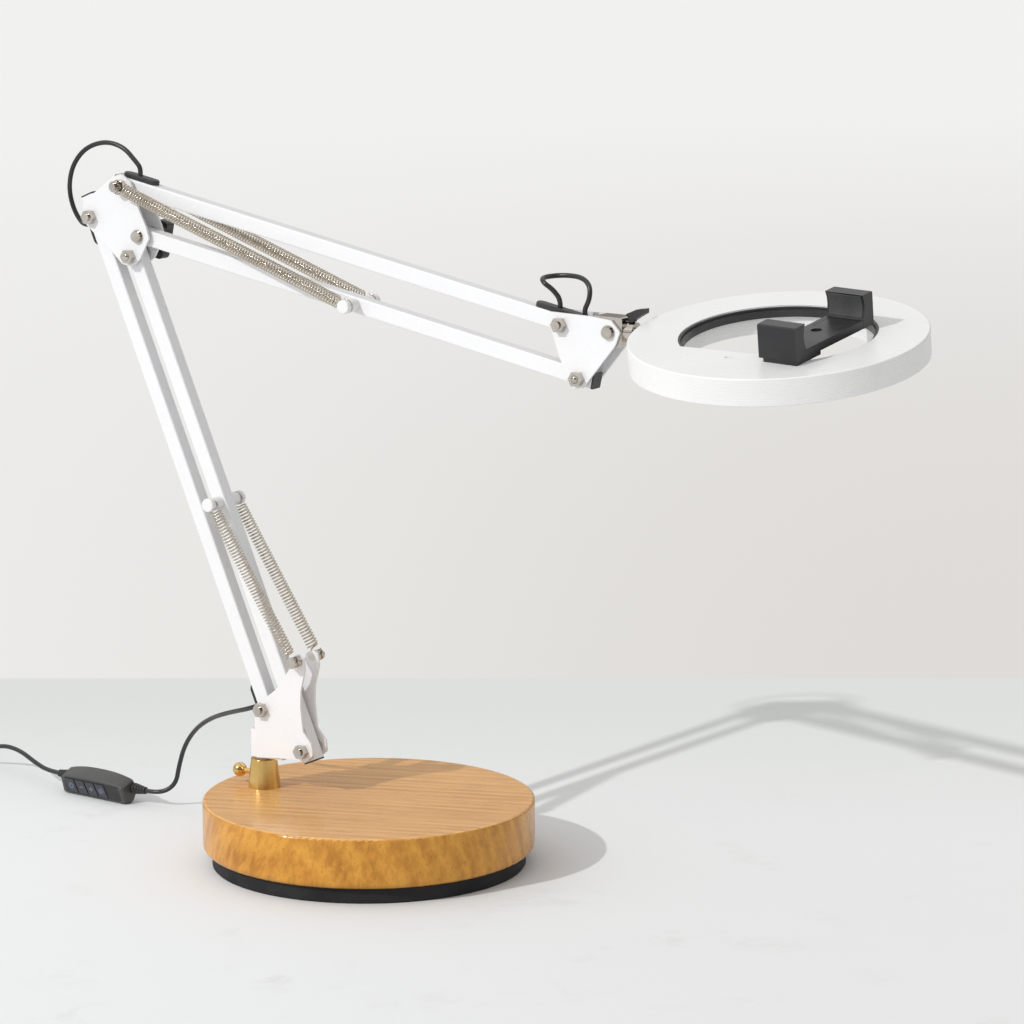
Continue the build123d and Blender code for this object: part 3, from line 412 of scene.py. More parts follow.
def handling_group() -> bpy.types.NodeTree:
    """Roughness that wanders between two values, as where fingers have touched.

    Returns:
        The group's node tree.
    """
    g, start, end = open_group(Effect.HANDLING, {"Low": 0.3, "High": 0.4, "Scale": 45.0},
                               ["Roughness"])
    place = g.node("TexCoord").outputs["Object"]
    smudge = g.node("TexNoise", {"Vector": place, "Scale": start.outputs["Scale"], "Detail": 5.0,
                                 "Distortion": 0.6})
    rough = g.node("MapRange", {"Value": smudge.outputs["Fac"], "From Min": 0.3, "From Max": 0.7,
                                "To Min": start.outputs["Low"], "To Max": start.outputs["High"]})
    g.tree.links.new(rough.outputs[0], end.inputs["Roughness"])
    return g.tree


def grain_group() -> bpy.types.NodeTree:
    """Wood figure along one direction: broad bands, fine lines and short dark pores.

    Returns:
        The group's node tree.
    """
    g, start, end = open_group(Effect.GRAIN, {"Turn": 0.0, "Tilt": 0.0, "Scale": 1.0},
                               ["Bands", "Lines", "Pores"])
    place = g.node("TexCoord").outputs["Object"]
    turn = g.node("CombineXYZ", {1: start.outputs["Tilt"], 2: start.outputs["Turn"]})
    turned_place = g.node("VectorRotate", {"Vector": place, "Rotation": turn.outputs[0]},
                          rotation_type="EULER_XYZ").outputs[0]
    sized = g.node("VectorMath", {0: turned_place, 3: start.outputs["Scale"]},
                   operation="SCALE").outputs[0]

    def stretched(along: float, across: float, up: float) -> bpy.types.NodeSocket:
        """The place, pressed together along the grain."""
        return g.node("VectorMath", {0: sized, 1: (along, across, up)},
                      operation="MULTIPLY").outputs[0]

    warp = g.node("TexNoise", {"Vector": stretched(9.0, 22.0, 22.0), "Scale": 1.0, "Detail": 2.0})
    heart = g.node("TexWave", {"Vector": stretched(7.0, 34.0, 34.0), "Scale": 1.4,
                               "Distortion": 5.5, "Detail": 2.0, "Detail Scale": 0.7,
                               "Phase Offset": warp.outputs["Fac"]},
                   wave_type="BANDS", bands_direction="Y")
    lines = g.node("TexNoise", {"Vector": stretched(14.0, 520.0, 520.0), "Scale": 1.0,
                                "Detail": 3.0, "Distortion": 0.2})
    pores = g.node("TexNoise", {"Vector": stretched(70.0, 1500.0, 1500.0), "Scale": 1.0,
                                "Detail": 1.0})
    g.tree.links.new(heart.outputs["Fac"], end.inputs["Bands"])
    g.tree.links.new(g.ramp(lines.outputs["Fac"], 0.36, 0.68), end.inputs["Lines"])
    g.tree.links.new(g.ramp(pores.outputs["Fac"], 0.60, 0.72), end.inputs["Pores"])
    return g.tree


def layers_group() -> bpy.types.NodeTree:
    """Fine parallel ridges stacked along the ring light's own axis.

    Returns:
        The group's node tree.
    """
    g, start, end = open_group(Effect.LAYERS, {"Pitch": 0.0006}, ["Height"])
    place = g.node("TexCoord").outputs["Object"]
    height = g.node("VectorMath", {0: place, 1: tuple(RING_N)}, operation="DOT_PRODUCT")
    step = g.math("DIVIDE", height.outputs["Value"], start.outputs["Pitch"])
    ridge = g.math("ABSOLUTE", g.math("SINE", g.math("MULTIPLY", step, math.pi)))
    wander = g.node("TexNoise", {"Vector": place, "Scale": 120.0, "Detail": 2.0})
    g.tree.links.new(g.math("MULTIPLY", ridge, g.math("ADD", wander.outputs["Fac"], 0.5)),
                     end.inputs["Height"])
    return g.tree


GROUP_MAKERS: dict[Effect, Callable[[], bpy.types.NodeTree]] = {
    Effect.SKIN: skin_group,
    Effect.HANDLING: handling_group,
    Effect.GRAIN: grain_group,
    Effect.LAYERS: layers_group,
}


def effect_tree(effect: Effect) -> bpy.types.NodeTree:
    """The node group of an effect, made at its first use."""
    return bpy.data.node_groups.get(effect.value) or GROUP_MAKERS[effect]()


def open_material(name: str) -> tuple[bpy.types.Material, Graph, bpy.types.Node]:
    """Start a material that has one Principled shader.

    Args:
        name: the material's name.

    Returns:
        The material, its graph and its shader node.
    """
    material = bpy.data.materials.new(name)
    material.use_nodes = True
    graph = Graph(material.node_tree)
    return material, graph, material.node_tree.nodes["Principled BSDF"]


# ------------------------------------------------------------------ finishes


@dataclass(frozen=True)
class Finish:
    """Plain finish: a colour that wanders a little, a fine skin and handling marks."""

    name: str
    colour: Colour
    second: Colour
    roughness: tuple[float, float]
    metallic: float = 0.0
    coat: float = 0.0
    coat_roughness: float = 0.08
    skin_scale: float = 900.0
    skin_depth: float = 0.00002
    patch_scale: float = 30.0
    specular: float = 0.5

    def build(self) -> bpy.types.Material:
        """Make the finish.

        Returns:
            Its material.
        """
        material, g, shader = open_material(self.name)
        skin = g.group(effect_tree(Effect.SKIN), {"Scale": self.skin_scale,
                                                  "Patch Scale": self.patch_scale})
        marks = g.group(effect_tree(Effect.HANDLING), {"Low": self.roughness[0],
                                                       "High": self.roughness[1]})
        bump = g.node("Bump", {"Height": skin.outputs["Height"], "Strength": 1.0,
                               "Distance": self.skin_depth})
        links = g.tree.links
        links.new(g.mix(skin.outputs["Patch"], self.colour, self.second),
                  shader.inputs["Base Color"])
        links.new(marks.outputs["Roughness"], shader.inputs["Roughness"])
        links.new(bump.outputs[0], shader.inputs["Normal"])
        shader.inputs["Metallic"].default_value = self.metallic
        shader.inputs["Coat Weight"].default_value = self.coat
        shader.inputs["Coat Roughness"].default_value = self.coat_roughness
        shader.inputs["Specular IOR Level"].default_value = self.specular
        return material


@dataclass(frozen=True)
class WoodFinish:
    """Honey-coloured veneer on top, amber end strip round the side, under clear varnish."""

    name: str = "varnished_wood"
    top_light: Colour = (0.82, 0.46, 0.17)
    top_dark: Colour = (0.57, 0.27, 0.08)
    side_light: Colour = (0.66, 0.31, 0.040)
    side_dark: Colour = (0.37, 0.135, 0.008)
    pore: Colour = (0.24, 0.095, 0.025)
    top_turn: float = math.radians(-19.0)
    side_turn: float = math.radians(25.0)
    side_tilt: float = math.radians(68.0)
    band_share: float = 0.42
    line_share: float = 0.55
    patch_share: float = 0.30
    pore_share: float = 0.35
    pore_depth: float = 0.00004
    varnish: float = 0.22
    varnish_roughness: float = 0.12
    specular: float = 0.32

    def build(self) -> bpy.types.Material:
        """Make the finish.

        Returns:
            Its material.
        """
        material, g, shader = open_material(self.name)
        tree = effect_tree(Effect.GRAIN)
        top = g.group(tree, {"Turn": self.top_turn, "Scale": 0.62})
        side = g.group(tree, {"Turn": self.side_turn, "Tilt": self.side_tilt, "Scale": 0.42})
        skin = g.group(effect_tree(Effect.SKIN), {"Scale": 260.0, "Patch Scale": 14.0})
        marks = g.group(effect_tree(Effect.HANDLING), {"Low": 0.24, "High": 0.36})
        normal = g.node("NewGeometry").outputs["Normal"]
        upward = g.node("SeparateXYZ", {0: normal}).outputs["Z"]
        on_top = g.ramp(upward, 0.55, 0.85)
        colours = []
        for figure, light, dark in ((side, self.side_light, self.side_dark),
                                    (top, self.top_light, self.top_dark)):
            bands = g.math("MULTIPLY", figure.outputs["Bands"], self.band_share)
            lines = g.math("MULTIPLY", figure.outputs["Lines"], self.line_share)
            wood = g.mix(g.math("ADD", bands, lines), light, dark)
            patch = g.mix(g.math("MULTIPLY", skin.outputs["Patch"], self.patch_share), wood, light)
            pores = g.math("MULTIPLY", figure.outputs["Pores"], self.pore_share)
            colours.append(g.mix(pores, patch, self.pore))
        relief = g.math("ADD", top.outputs["Lines"], g.math("MULTIPLY", top.outputs["Pores"], -1.0))
        bump = g.node("Bump", {"Height": relief, "Strength": 0.5, "Distance": self.pore_depth})
        links = g.tree.links
        links.new(g.mix(on_top, colours[0], colours[1]), shader.inputs["Base Color"])
        links.new(marks.outputs["Roughness"], shader.inputs["Roughness"])
        links.new(bump.outputs[0], shader.inputs["Normal"])
        shader.inputs["Coat Weight"].default_value = self.varnish
        shader.inputs["Coat Roughness"].default_value = self.varnish_roughness
        shader.inputs["Specular IOR Level"].default_value = self.specular
        return material


@dataclass(frozen=True)
class ShellFinish:
    """White moulded shell whose rim shows fine layer lines and whose faces are smooth."""

    name: str = "ring_shell_white"
    colour: Colour = (0.795, 0.795, 0.79)
    second: Colour = (0.81, 0.81, 0.805)
    layer_depth: float = 0.00009
    layer_pitch: float = 0.0013
    skin_share: float = 0.01

    def build(self) -> bpy.types.Material:
        """Make the finish.

        Returns:
            Its material.
        """
        material, g, shader = open_material(self.name)
        skin = g.group(effect_tree(Effect.SKIN), {"Scale": 1400.0, "Patch Scale": 22.0})
        marks = g.group(effect_tree(Effect.HANDLING), {"Low": 0.26, "High": 0.34})
        layers = g.group(effect_tree(Effect.LAYERS), {"Pitch": self.layer_pitch})
        normal = g.node("NewGeometry").outputs["Normal"]
        facing = g.node("VectorMath", {0: normal, 1: tuple(RING_N)}, operation="DOT_PRODUCT")
        on_rim = g.ramp(g.math("ABSOLUTE", facing.outputs["Value"]), 0.75, 0.25)
        height = g.math("ADD", g.math("MULTIPLY", layers.outputs["Height"], on_rim),
                        g.math("MULTIPLY", skin.outputs["Height"], self.skin_share))
        bump = g.node("Bump", {"Height": height, "Strength": 1.0, "Distance": self.layer_depth})
        links = g.tree.links
        links.new(g.mix(skin.outputs["Patch"], self.colour, self.second),
                  shader.inputs["Base Color"])
        links.new(marks.outputs["Roughness"], shader.inputs["Roughness"])
        links.new(bump.outputs[0], shader.inputs["Normal"])
        return material


@dataclass(frozen=True)
class FloorFinish:
    """Pale stone-like floor that turns into a warm backdrop beyond a line, with painted light:
    lighter on the left, darker on the right, painted shade towards the line and a backdrop that
    lightens with distance.
    """

    name: str = "pale_floor"
    # Painted light: the near and far colours below are lit on the left, in painted shade on the
    # right and towards the line, and lighter far away; stain is the floor's own mottling.
    painted_lit_near_left: Colour = (0.83, 0.84, 0.845)
    painted_shade_near_right: Colour = (0.775, 0.78, 0.775)
    painted_shade_near_wall: Colour = (0.70, 0.715, 0.695)
    stain: Colour = (0.70, 0.705, 0.69)
    painted_lit_far_left: Colour = (0.80, 0.795, 0.775)
    painted_shade_far_right: Colour = (0.705, 0.685, 0.66)
    painted_lit_far_high: Colour = (0.85, 0.85, 0.845)
    away: tuple[float, float, float] = (-0.530, 0.848, 0.0)
    rightward: tuple[float, float, float] = (0.848, 0.530, 0.0)
    line_distance: float = 0.637
    line_half: float = 0.006
    camera_distance: float = 3.127
    side_slope: float = 0.13
    stain_share: float = 0.6

    def build(self) -> bpy.types.Material:
        """Make the finish.

        Returns:
            Its material.
        """
        material, g, shader = open_material(self.name)
        place = g.node("TexCoord").outputs["Object"]
        depth = g.node("VectorMath", {0: place, 1: self.away}, operation="DOT_PRODUCT")
        beyond = g.ramp(depth.outputs["Value"], self.line_distance - self.line_half,
                        self.line_distance + self.line_half)
        # Share from the left to the right of the view, which sets the painted light falling off from
        # left to right.
        across = g.node("VectorMath", {0: place, 1: self.rightward}, operation="DOT_PRODUCT")
        reach = g.math("ADD", depth.outputs["Value"], self.camera_distance)
        right = g.ramp(g.math("DIVIDE", across.outputs["Value"], reach), -self.side_slope,
                       self.side_slope)
        cloud = g.node("TexNoise", {"Vector": place, "Scale": 9.0, "Detail": 9.0,
                                    "Roughness": 0.62})
        spots = g.node("TexNoise", {"Vector": place, "Scale": 34.0, "Detail": 8.0,
                                    "Roughness": 0.7, "Distortion": 0.8})
        share = g.math("MULTIPLY", g.ramp(cloud.outputs["Fac"], 0.50, 0.72),
                       g.ramp(spots.outputs["Fac"], 0.42, 0.66))
        links = g.tree.links
        # Painted light and shade on the floor: lighter on the left, darker on the right and darker
        # towards the line.
        plain = g.mix(g.ramp(depth.outputs["Value"], 0.0, 0.62),
                      g.mix(right, self.painted_lit_near_left, self.painted_shade_near_right), self.painted_shade_near_wall)
        stone = g.mix(g.math("MULTIPLY", share, self.stain_share), plain, self.stain)
        # Painted light and shade on the backdrop: lighter on the left, darker on the right, and
        # lighter with distance.
        wall = g.mix(g.ramp(depth.outputs["Value"], 0.7, 7.0),
                     g.mix(right, self.painted_lit_far_left, self.painted_shade_far_right), self.painted_lit_far_high)
        links.new(g.mix(beyond, stone, wall), shader.inputs["Base Color"])
        shader.inputs["Roughness"].default_value = 0.9
        shader.inputs["Specular IOR Level"].default_value = 0.1
        return material


WHITE_PAINT = Finish("white_powder_coat", (0.79, 0.79, 0.80), (0.80, 0.80, 0.81), (0.26, 0.31),
                     coat=0.25, skin_scale=700.0, skin_depth=0.000004)
SPOOL_WHITE = Finish("white_spool", (0.77, 0.77, 0.765), (0.79, 0.79, 0.78), (0.28, 0.36),
                     skin_depth=0.000004)
# Nickel colour lowered below real nickel as painted reflection, standing for a darker room seen in
# the nuts, bolts and pins.
NICKEL = Finish("nickel_with_painted_reflection", (0.60, 0.56, 0.51), (0.50, 0.46, 0.41), (0.07, 0.16),
                metallic=1.0, skin_depth=0.000006, patch_scale=140.0)
# Nickel colour lowered below real nickel as painted reflection and shade, standing for dark
# reflections and the dark gaps between the coils.
SPRING_NICKEL = Finish("spring_nickel_with_painted_reflection", (0.68, 0.62, 0.53), (0.56, 0.50, 0.41), (0.12, 0.22),
                       metallic=1.0, skin_depth=0.000006, patch_scale=200.0)
ZINC = Finish("zinc_plate", (0.55, 0.55, 0.54), (0.47, 0.47, 0.45), (0.30, 0.45), metallic=1.0)
BRASS = Finish("polished_brass", (0.80, 0.56, 0.22), (0.70, 0.46, 0.16), (0.14, 0.26),
               metallic=1.0, skin_depth=0.00001, patch_scale=60.0)
IRON = Finish("cast_iron", (0.14, 0.14, 0.14), (0.10, 0.10, 0.10), (0.6, 0.75), metallic=0.8,
              skin_scale=400.0, skin_depth=0.0001)
FOOT_BLACK = Finish("black_foot", (0.016, 0.016, 0.017), (0.024, 0.024, 0.025), (0.6, 0.75),
                    skin_scale=500.0, skin_depth=0.00003, specular=0.2)
BLACK_MOULDED = Finish("black_moulded", (0.022, 0.022, 0.024), (0.032, 0.031, 0.031), (0.34, 0.48),
                       skin_scale=1500.0, skin_depth=0.00003)
CASE_BLACK = Finish("controller_black", (0.060, 0.059, 0.057), (0.082, 0.080, 0.076),
                    (0.32, 0.46), skin_scale=1800.0, skin_depth=0.00003)
CORD_BLACK = Finish("cord_jacket", (0.016, 0.016, 0.018), (0.026, 0.026, 0.028), (0.28, 0.40),
                    skin_scale=1200.0, skin_depth=0.00002)
CLAMP_BLACK = Finish("satin_black", (0.022, 0.022, 0.024), (0.032, 0.032, 0.034), (0.28, 0.38),
                     metallic=0.2, skin_scale=2200.0, skin_depth=0.00002)
PAD_BLACK = Finish("pad_rubber", (0.05, 0.05, 0.052), (0.075, 0.075, 0.077), (0.42, 0.55),
                   skin_scale=1600.0, skin_depth=0.00003)
BUTTON_BLACK = Finish("button_rubber", (0.045, 0.047, 0.055), (0.06, 0.062, 0.07), (0.42, 0.55),
                      skin_scale=1700.0, skin_depth=0.00003)
PRINT_BLUE = Finish("print_blue", (0.16, 0.21, 0.33), (0.20, 0.25, 0.37), (0.45, 0.6))
DIFFUSER_WHITE = Finish("milky_diffuser", (0.78, 0.78, 0.76), (0.80, 0.80, 0.78), (0.4, 0.5),
                        skin_scale=500.0, skin_depth=0.00004)
BOARD_WHITE = Finish("board_mask", (0.70, 0.73, 0.69), (0.66, 0.69, 0.62), (0.35, 0.5))
TIE_GREY = Finish("tie_fabric", (0.10, 0.10, 0.105), (0.15, 0.15, 0.155), (0.8, 0.95),
                  skin_scale=2600.0, skin_depth=0.00015)
WOOD = WoodFinish()
SHELL = ShellFinish()

SLOT_FINISHES: dict[str, Finish | WoodFinish | ShellFinish] = {
    "wood": WOOD, "dark_foot": FOOT_BLACK, "weight": IRON, "screw_steel": ZINC, "brass": BRASS,
    "white_paint": WHITE_PAINT, "nickel": NICKEL, "spool": SPOOL_WHITE,
    "black_plastic": BLACK_MOULDED, "cord": CORD_BLACK, "lamp_shell": SHELL,
    "diffuser": DIFFUSER_WHITE, "board": BOARD_WHITE, "clamp_black": CLAMP_BLACK,
    "button": BUTTON_BLACK,
}


def dress(piece: bpy.types.Object, finish: Finish | WoodFinish | ShellFinish | FloorFinish) -> None:
    """Give a piece its one finish, made at its first use.

    Args:
        piece: the piece.
        finish: its finish.
    """
    material = bpy.data.materials.get(finish.name) or finish.build()
    piece.data.materials.clear()
    piece.data.materials.append(material)


def report(piece: bpy.types.Object, what: str) -> None:
    """Log a finished piece."""
    LOG.info("%s: %s", piece.name, what)


# ------------------------------------------------------------------ camera, floor and light


@dataclass
class Studio:
    """Camera, pale floor, one soft key lamp and an even pale surround."""

    camera_at: Vector
    camera_turn: tuple[float, float, float] = (90.0 - 10.49, 0.0, 32.02)
    lens: float = 150.55
    floor_half: float = 40.0
    key_way: Vector = Vector((-0.29, -0.76, 0.58))
    key_strength: float = 1.65
    key_spread: float = math.radians(1.1)
    surround_left: float = 0.96
    surround_right: float = 0.52
    backdrop: Colour = (0.82, 0.815, 0.80)
    room_pale: Colour = (0.95, 0.95, 0.95)
    room_dark: Colour = (0.10, 0.075, 0.055)
    room_way: tuple[float, float, float] = (0.45, -0.89, 0.0)
    rightward: tuple[float, float, float] = (0.848, 0.530, 0.0)
    band_share: float = 0.75

    def place_camera(self) -> None:
        """Set the scene's camera and its plain view of the colours."""
        camera = bpy.data.cameras.new("camera")
        camera.lens = self.lens
        camera.sensor_width = 36.0
        camera.clip_end = 100.0
        seen = add_object("camera", camera)
        seen.location = self.camera_at
        seen.rotation_euler = [math.radians(a) for a in self.camera_turn]
        bpy.context.scene.camera = seen
        bpy.context.scene.view_settings.view_transform = "Standard"

    def lay_floor(self) -> None:
        """Lay the floor under the foot."""
        half = self.floor_half
        corners = [Vector((x, y, 0)) for x, y in ((-half, -half), (half, -half), (half, half),
                                                  (-half, half))]
        floor = add_mesh("floor", corners, [(0, 1, 2, 3)], smooth=False)
        dress(floor, FloorFinish())

    def light(self) -> None:
        """Hang the key lamp."""
        lamp = bpy.data.lights.new("key", "SUN")
        lamp.energy = self.key_strength
        lamp.angle = self.key_spread
        key = add_object("key", lamp)
        key.rotation_euler = self.key_way.to_track_quat("Z", "Y").to_euler()

    def surround(self) -> None:
        """Set the pale surround, where reflections show the darker parts of a room."""
        world = bpy.data.worlds.new("surround")
        world.use_nodes = True
        bpy.context.scene.world = world
        g = Graph(world.node_tree)
        plain = world.node_tree.nodes["Background"]
        way = g.node("TexCoord").outputs["Generated"]
        height = g.node("SeparateXYZ", {0: way}).outputs["Z"]
        band = g.math("MULTIPLY", g.ramp(height, 0.50, 0.25), g.ramp(height, -0.10, 0.02))
        room = g.node("VectorMath", {0: way, 1: self.room_way}, operation="DOT_PRODUCT")
        front = g.ramp(room.outputs["Value"], 0.35, 0.80)
        patches = g.node("TexNoise", {"Vector": way, "Scale": 3.2, "Detail": 2.0})
        walls = g.math("MAXIMUM", g.math("MULTIPLY", band, self.band_share), front)
        dark = g.math("MULTIPLY", walls, g.ramp(patches.outputs["Fac"], 0.30, 0.52))
        metal_view = g.mix(dark, self.room_pale, self.room_dark)
        path = g.node("LightPath")
        side = g.node("VectorMath", {0: way, 1: self.rightward}, operation="DOT_PRODUCT")
        soft = g.mix(g.ramp(side.outputs["Value"], -0.9, 0.9), (self.surround_left,) * 3,
                     (self.surround_right,) * 3)
        seen = g.mix(path.outputs["Is Glossy Ray"], soft, metal_view)
        shown = g.mix(path.outputs["Is Camera Ray"], seen, self.backdrop)
        world.node_tree.links.new(shown, plain.inputs["Color"])
        plain.inputs["Strength"].default_value = 1.0


# ------------------------------------------------------------------ cords


@dataclass
class ArmCable:
    """Cord loop beside a joint, in two tubes that meet where the middle body holds the loop."""

    name: str
    node: str
    route: Sequence[Vector]
    bodies: tuple[str, str, str]
    meet: int

    def build(self) -> None:
        first_body, middle_body, last_body = self.bodies
        line = smooth_line(self.route)
        target = self.route[self.meet]
        cut = min(range(len(line)), key=lambda i: (line[i] - target).length)
        halves = ((f"{self.name}_a", line[:cut + 1], first_body, middle_body),
                  (f"{self.name}_b", line[cut:], middle_body, last_body))
        for name, part, near, far in halves:
            tube = sweep(name, part, CORD_DIAMETER / 2, sides=16)
            dress(tube, CORD_BLACK)
            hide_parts(self.node)
            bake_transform(tube)
            length = sum((b - a).length for a, b in zip(part, part[1:]))
            report(tube, f"arm cable, {length / MM:.0f} mm")


@dataclass
class LooseCord:
    """Tail of the lead: over the floor, turns of spare cord in a tie, and round to the plug.

    The length is in metres and every other size in millimetres.
    """

    coil_centre: Vector
    outer: float = 24.1
    pitch: float = 3.7
    low: float = 2.05
    high: float = 5.8
    turns: int = 5
    per_turn: int = 16
    length: float = 0.917
    tie_half_span: float = 6.1
    tie_half_height: float = 4.3
    tie_middle: float = 3.95
    tie_half_width: float = 4.0
    tie_thickness: float = 0.7
    tie_lowest: float = 0.12
    tie_corners: int = 28

    def coil_points(self) -> list[Vector]:
        """Lay the turns in two layers, from the outside in and out again.

        Returns:
            Control points of the turns.
        """
        grow = 1 / (0.75 + 0.25 * math.cos(TAU / self.per_turn))
        points: list[Vector] = []
        for k in range(self.turns * self.per_turn + 1):
            turn = k / self.per_turn
            inward = self.step(turn, 0.72, 1.0) + self.step(turn, 1.72, 2.0)
            outward = self.step(turn, 3.22, 3.5) + self.step(turn, 4.22, 4.5)
            radius = self.outer - self.pitch * (inward - outward)
            height = self.low + (self.high - self.low) * self.step(turn, 2.45, 2.72)
            angle = -math.pi / 2 - TAU * turn
            points.append(self.coil_centre + mm(radius * grow * math.cos(angle),
                                                radius * grow * math.sin(angle), height))
        return points

    @staticmethod
    def step(value: float, low: float, high: float) -> float:
        """Share that eases from 0 at low to 1 at high."""
        share = min(1.0, max(0.0, (value - low) / (high - low)))
        return share * share * (3 - 2 * share)

    def build(self, plug: Sequence[bpy.types.Object], end: Vector) -> None:
        """Args:
            plug: the pieces of the plug; not used.
            end: point where the cord goes into the plug.
        """
        start = on_controller(-CORD_INSET, CORD_HEIGHT, HALF_CONTROLLER + RELIEF_LENGTH)
        out = [mm(-376, 65, 16), mm(-398, 74, 21), mm(-421, 80, 21.5), mm(-443, 81.5, 13.5),
               mm(-462, 79, 6), mm(-480, 76.2, 2.6)]
        back = [mm(-512, 75.4, 6.0), mm(-528, 77.5, 6.2), mm(-541, 81.0, 5.8),
                mm(-552.5, 78.5, 5.2), mm(-554.5, 66.5, 4.6), mm(-544.0, 58.4, 4.2),
                mm(-528, 57.6, 4.2), mm(-518, 58.0, 4.2)]
        route = [start, start + TO_PLUG * 14 * MM, *out, *self.coil_points(), *back, end]
        cord = spline("tail_cord", route, CORD_DIAMETER / 2)
        dress(cord, CORD_BLACK)
        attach(cord, "base")
        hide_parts("cord_tail", "cord_coil")
        tie = self.tie()
        report(cord, "tail of the lead with its coil")

    def tie(self) -> bpy.types.Object:
        """Wrap a flat fabric tie round the turns.

        Returns:
            The tie.
        """
        middle = self.outer - self.pitch
        points: list[Vector] = []
        corners = self.tie_corners
        for y in (-self.tie_half_width, self.tie_half_width):
            for grow in (0.0, self.tie_thickness):
                for k in range(corners):
                    a = TAU * k / corners
                    wide, tall = (math.copysign(abs(v) ** 0.55, v)
                                  for v in (math.cos(a), math.sin(a)))
                    x = middle + wide * (self.tie_half_span + grow)
                    z = self.tie_middle + tall * (self.tie_half_height + grow)
                    points.append(self.coil_centre + mm(x, y, max(self.tie_lowest, z)))
        faces: list[tuple[int, ...]] = []
        for k in range(corners):
            n = (k + 1) % corners
            for a, b in ((0, 1), (1, 3), (3, 2), (2, 0)):
                faces.append((a * corners + k, a * corners + n, b * corners + n, b * corners + k))
        made = add_mesh("coil_tie", points, faces)
        dress(made, TIE_GREY)
        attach(made, "base")
        report(made, "fabric tie")
        return made


# ------------------------------------------------------------------ springs


@dataclass
class BalanceSpring:
    """Tension spring of round wire with a full loop at each end."""

    name: str
    node: str
    start: Vector
    end: Vector
    bodies: tuple[str, str]
    radius: float = 5.0 * MM
    wire: float = 1.15 * MM
    pitch: float = 2.5 * MM
    end_gap: float = 7.5 * MM
    loop_radius: float = 5.4 * MM
    loop_turn: float = 290.0
    loop_steps: int = 19
    loop_lean: float = 2.4 * MM
    steps: int = 22

    def line(self) -> list[Vector]:
        """Wind the wire from one loop to the other.

        Returns:
            Points of its middle line.
        """
        span = self.end - self.start
        way = span.normalized()
        across = Vector((0, 1, 0))
        lean = way.cross(across).normalized()
        coil_radius = self.radius - self.wire / 2
        length = span.length - 2 * self.end_gap
        turns = round(length / self.pitch)
        path = self.loop(self.start, way, lean)
        for k in range(turns * self.steps + 1):
            angle = TAU * k / self.steps
            along = self.end_gap + length * k / (turns * self.steps)
            path.append(self.start + way * along
                        + (lean * math.cos(angle) + across * math.sin(angle)) * coil_radius)
        return path + self.loop(self.end, -way, lean)[::-1]

    def loop(self, hook: Vector, way: Vector, lean: Vector) -> list[Vector]:
        """Loop round a hook's neck, from its free end to the coil.

        Args:
            hook: middle of the neck.
            way: direction from the hook to the coil.
            lean: direction in the loop's plane, square to way.

        Returns:
            Points of the loop.
        """
        centre = hook + way * (self.end_gap - self.wire * 0.3 - self.loop_radius)
        points = []
        for k in range(self.loop_steps + 1):
            angle = math.radians(-self.loop_turn + self.loop_turn * k / self.loop_steps)
            points.append(centre + (way * math.cos(angle) + lean * math.sin(angle))
                          * self.loop_radius)
        points.append(centre + way * (self.loop_radius + 0.1 * MM) + lean * self.loop_lean)
        return points

    def build(self) -> None:
        """Sweep the wire and show it in place of the CAD springs."""
        wire = sweep(self.name, self.line(), self.wire / 2, sides=8)
        dress(wire, SPRING_NICKEL)
        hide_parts(self.node)
        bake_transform(wire)
        report(wire, "tension spring")


# ------------------------------------------------------------------ controller


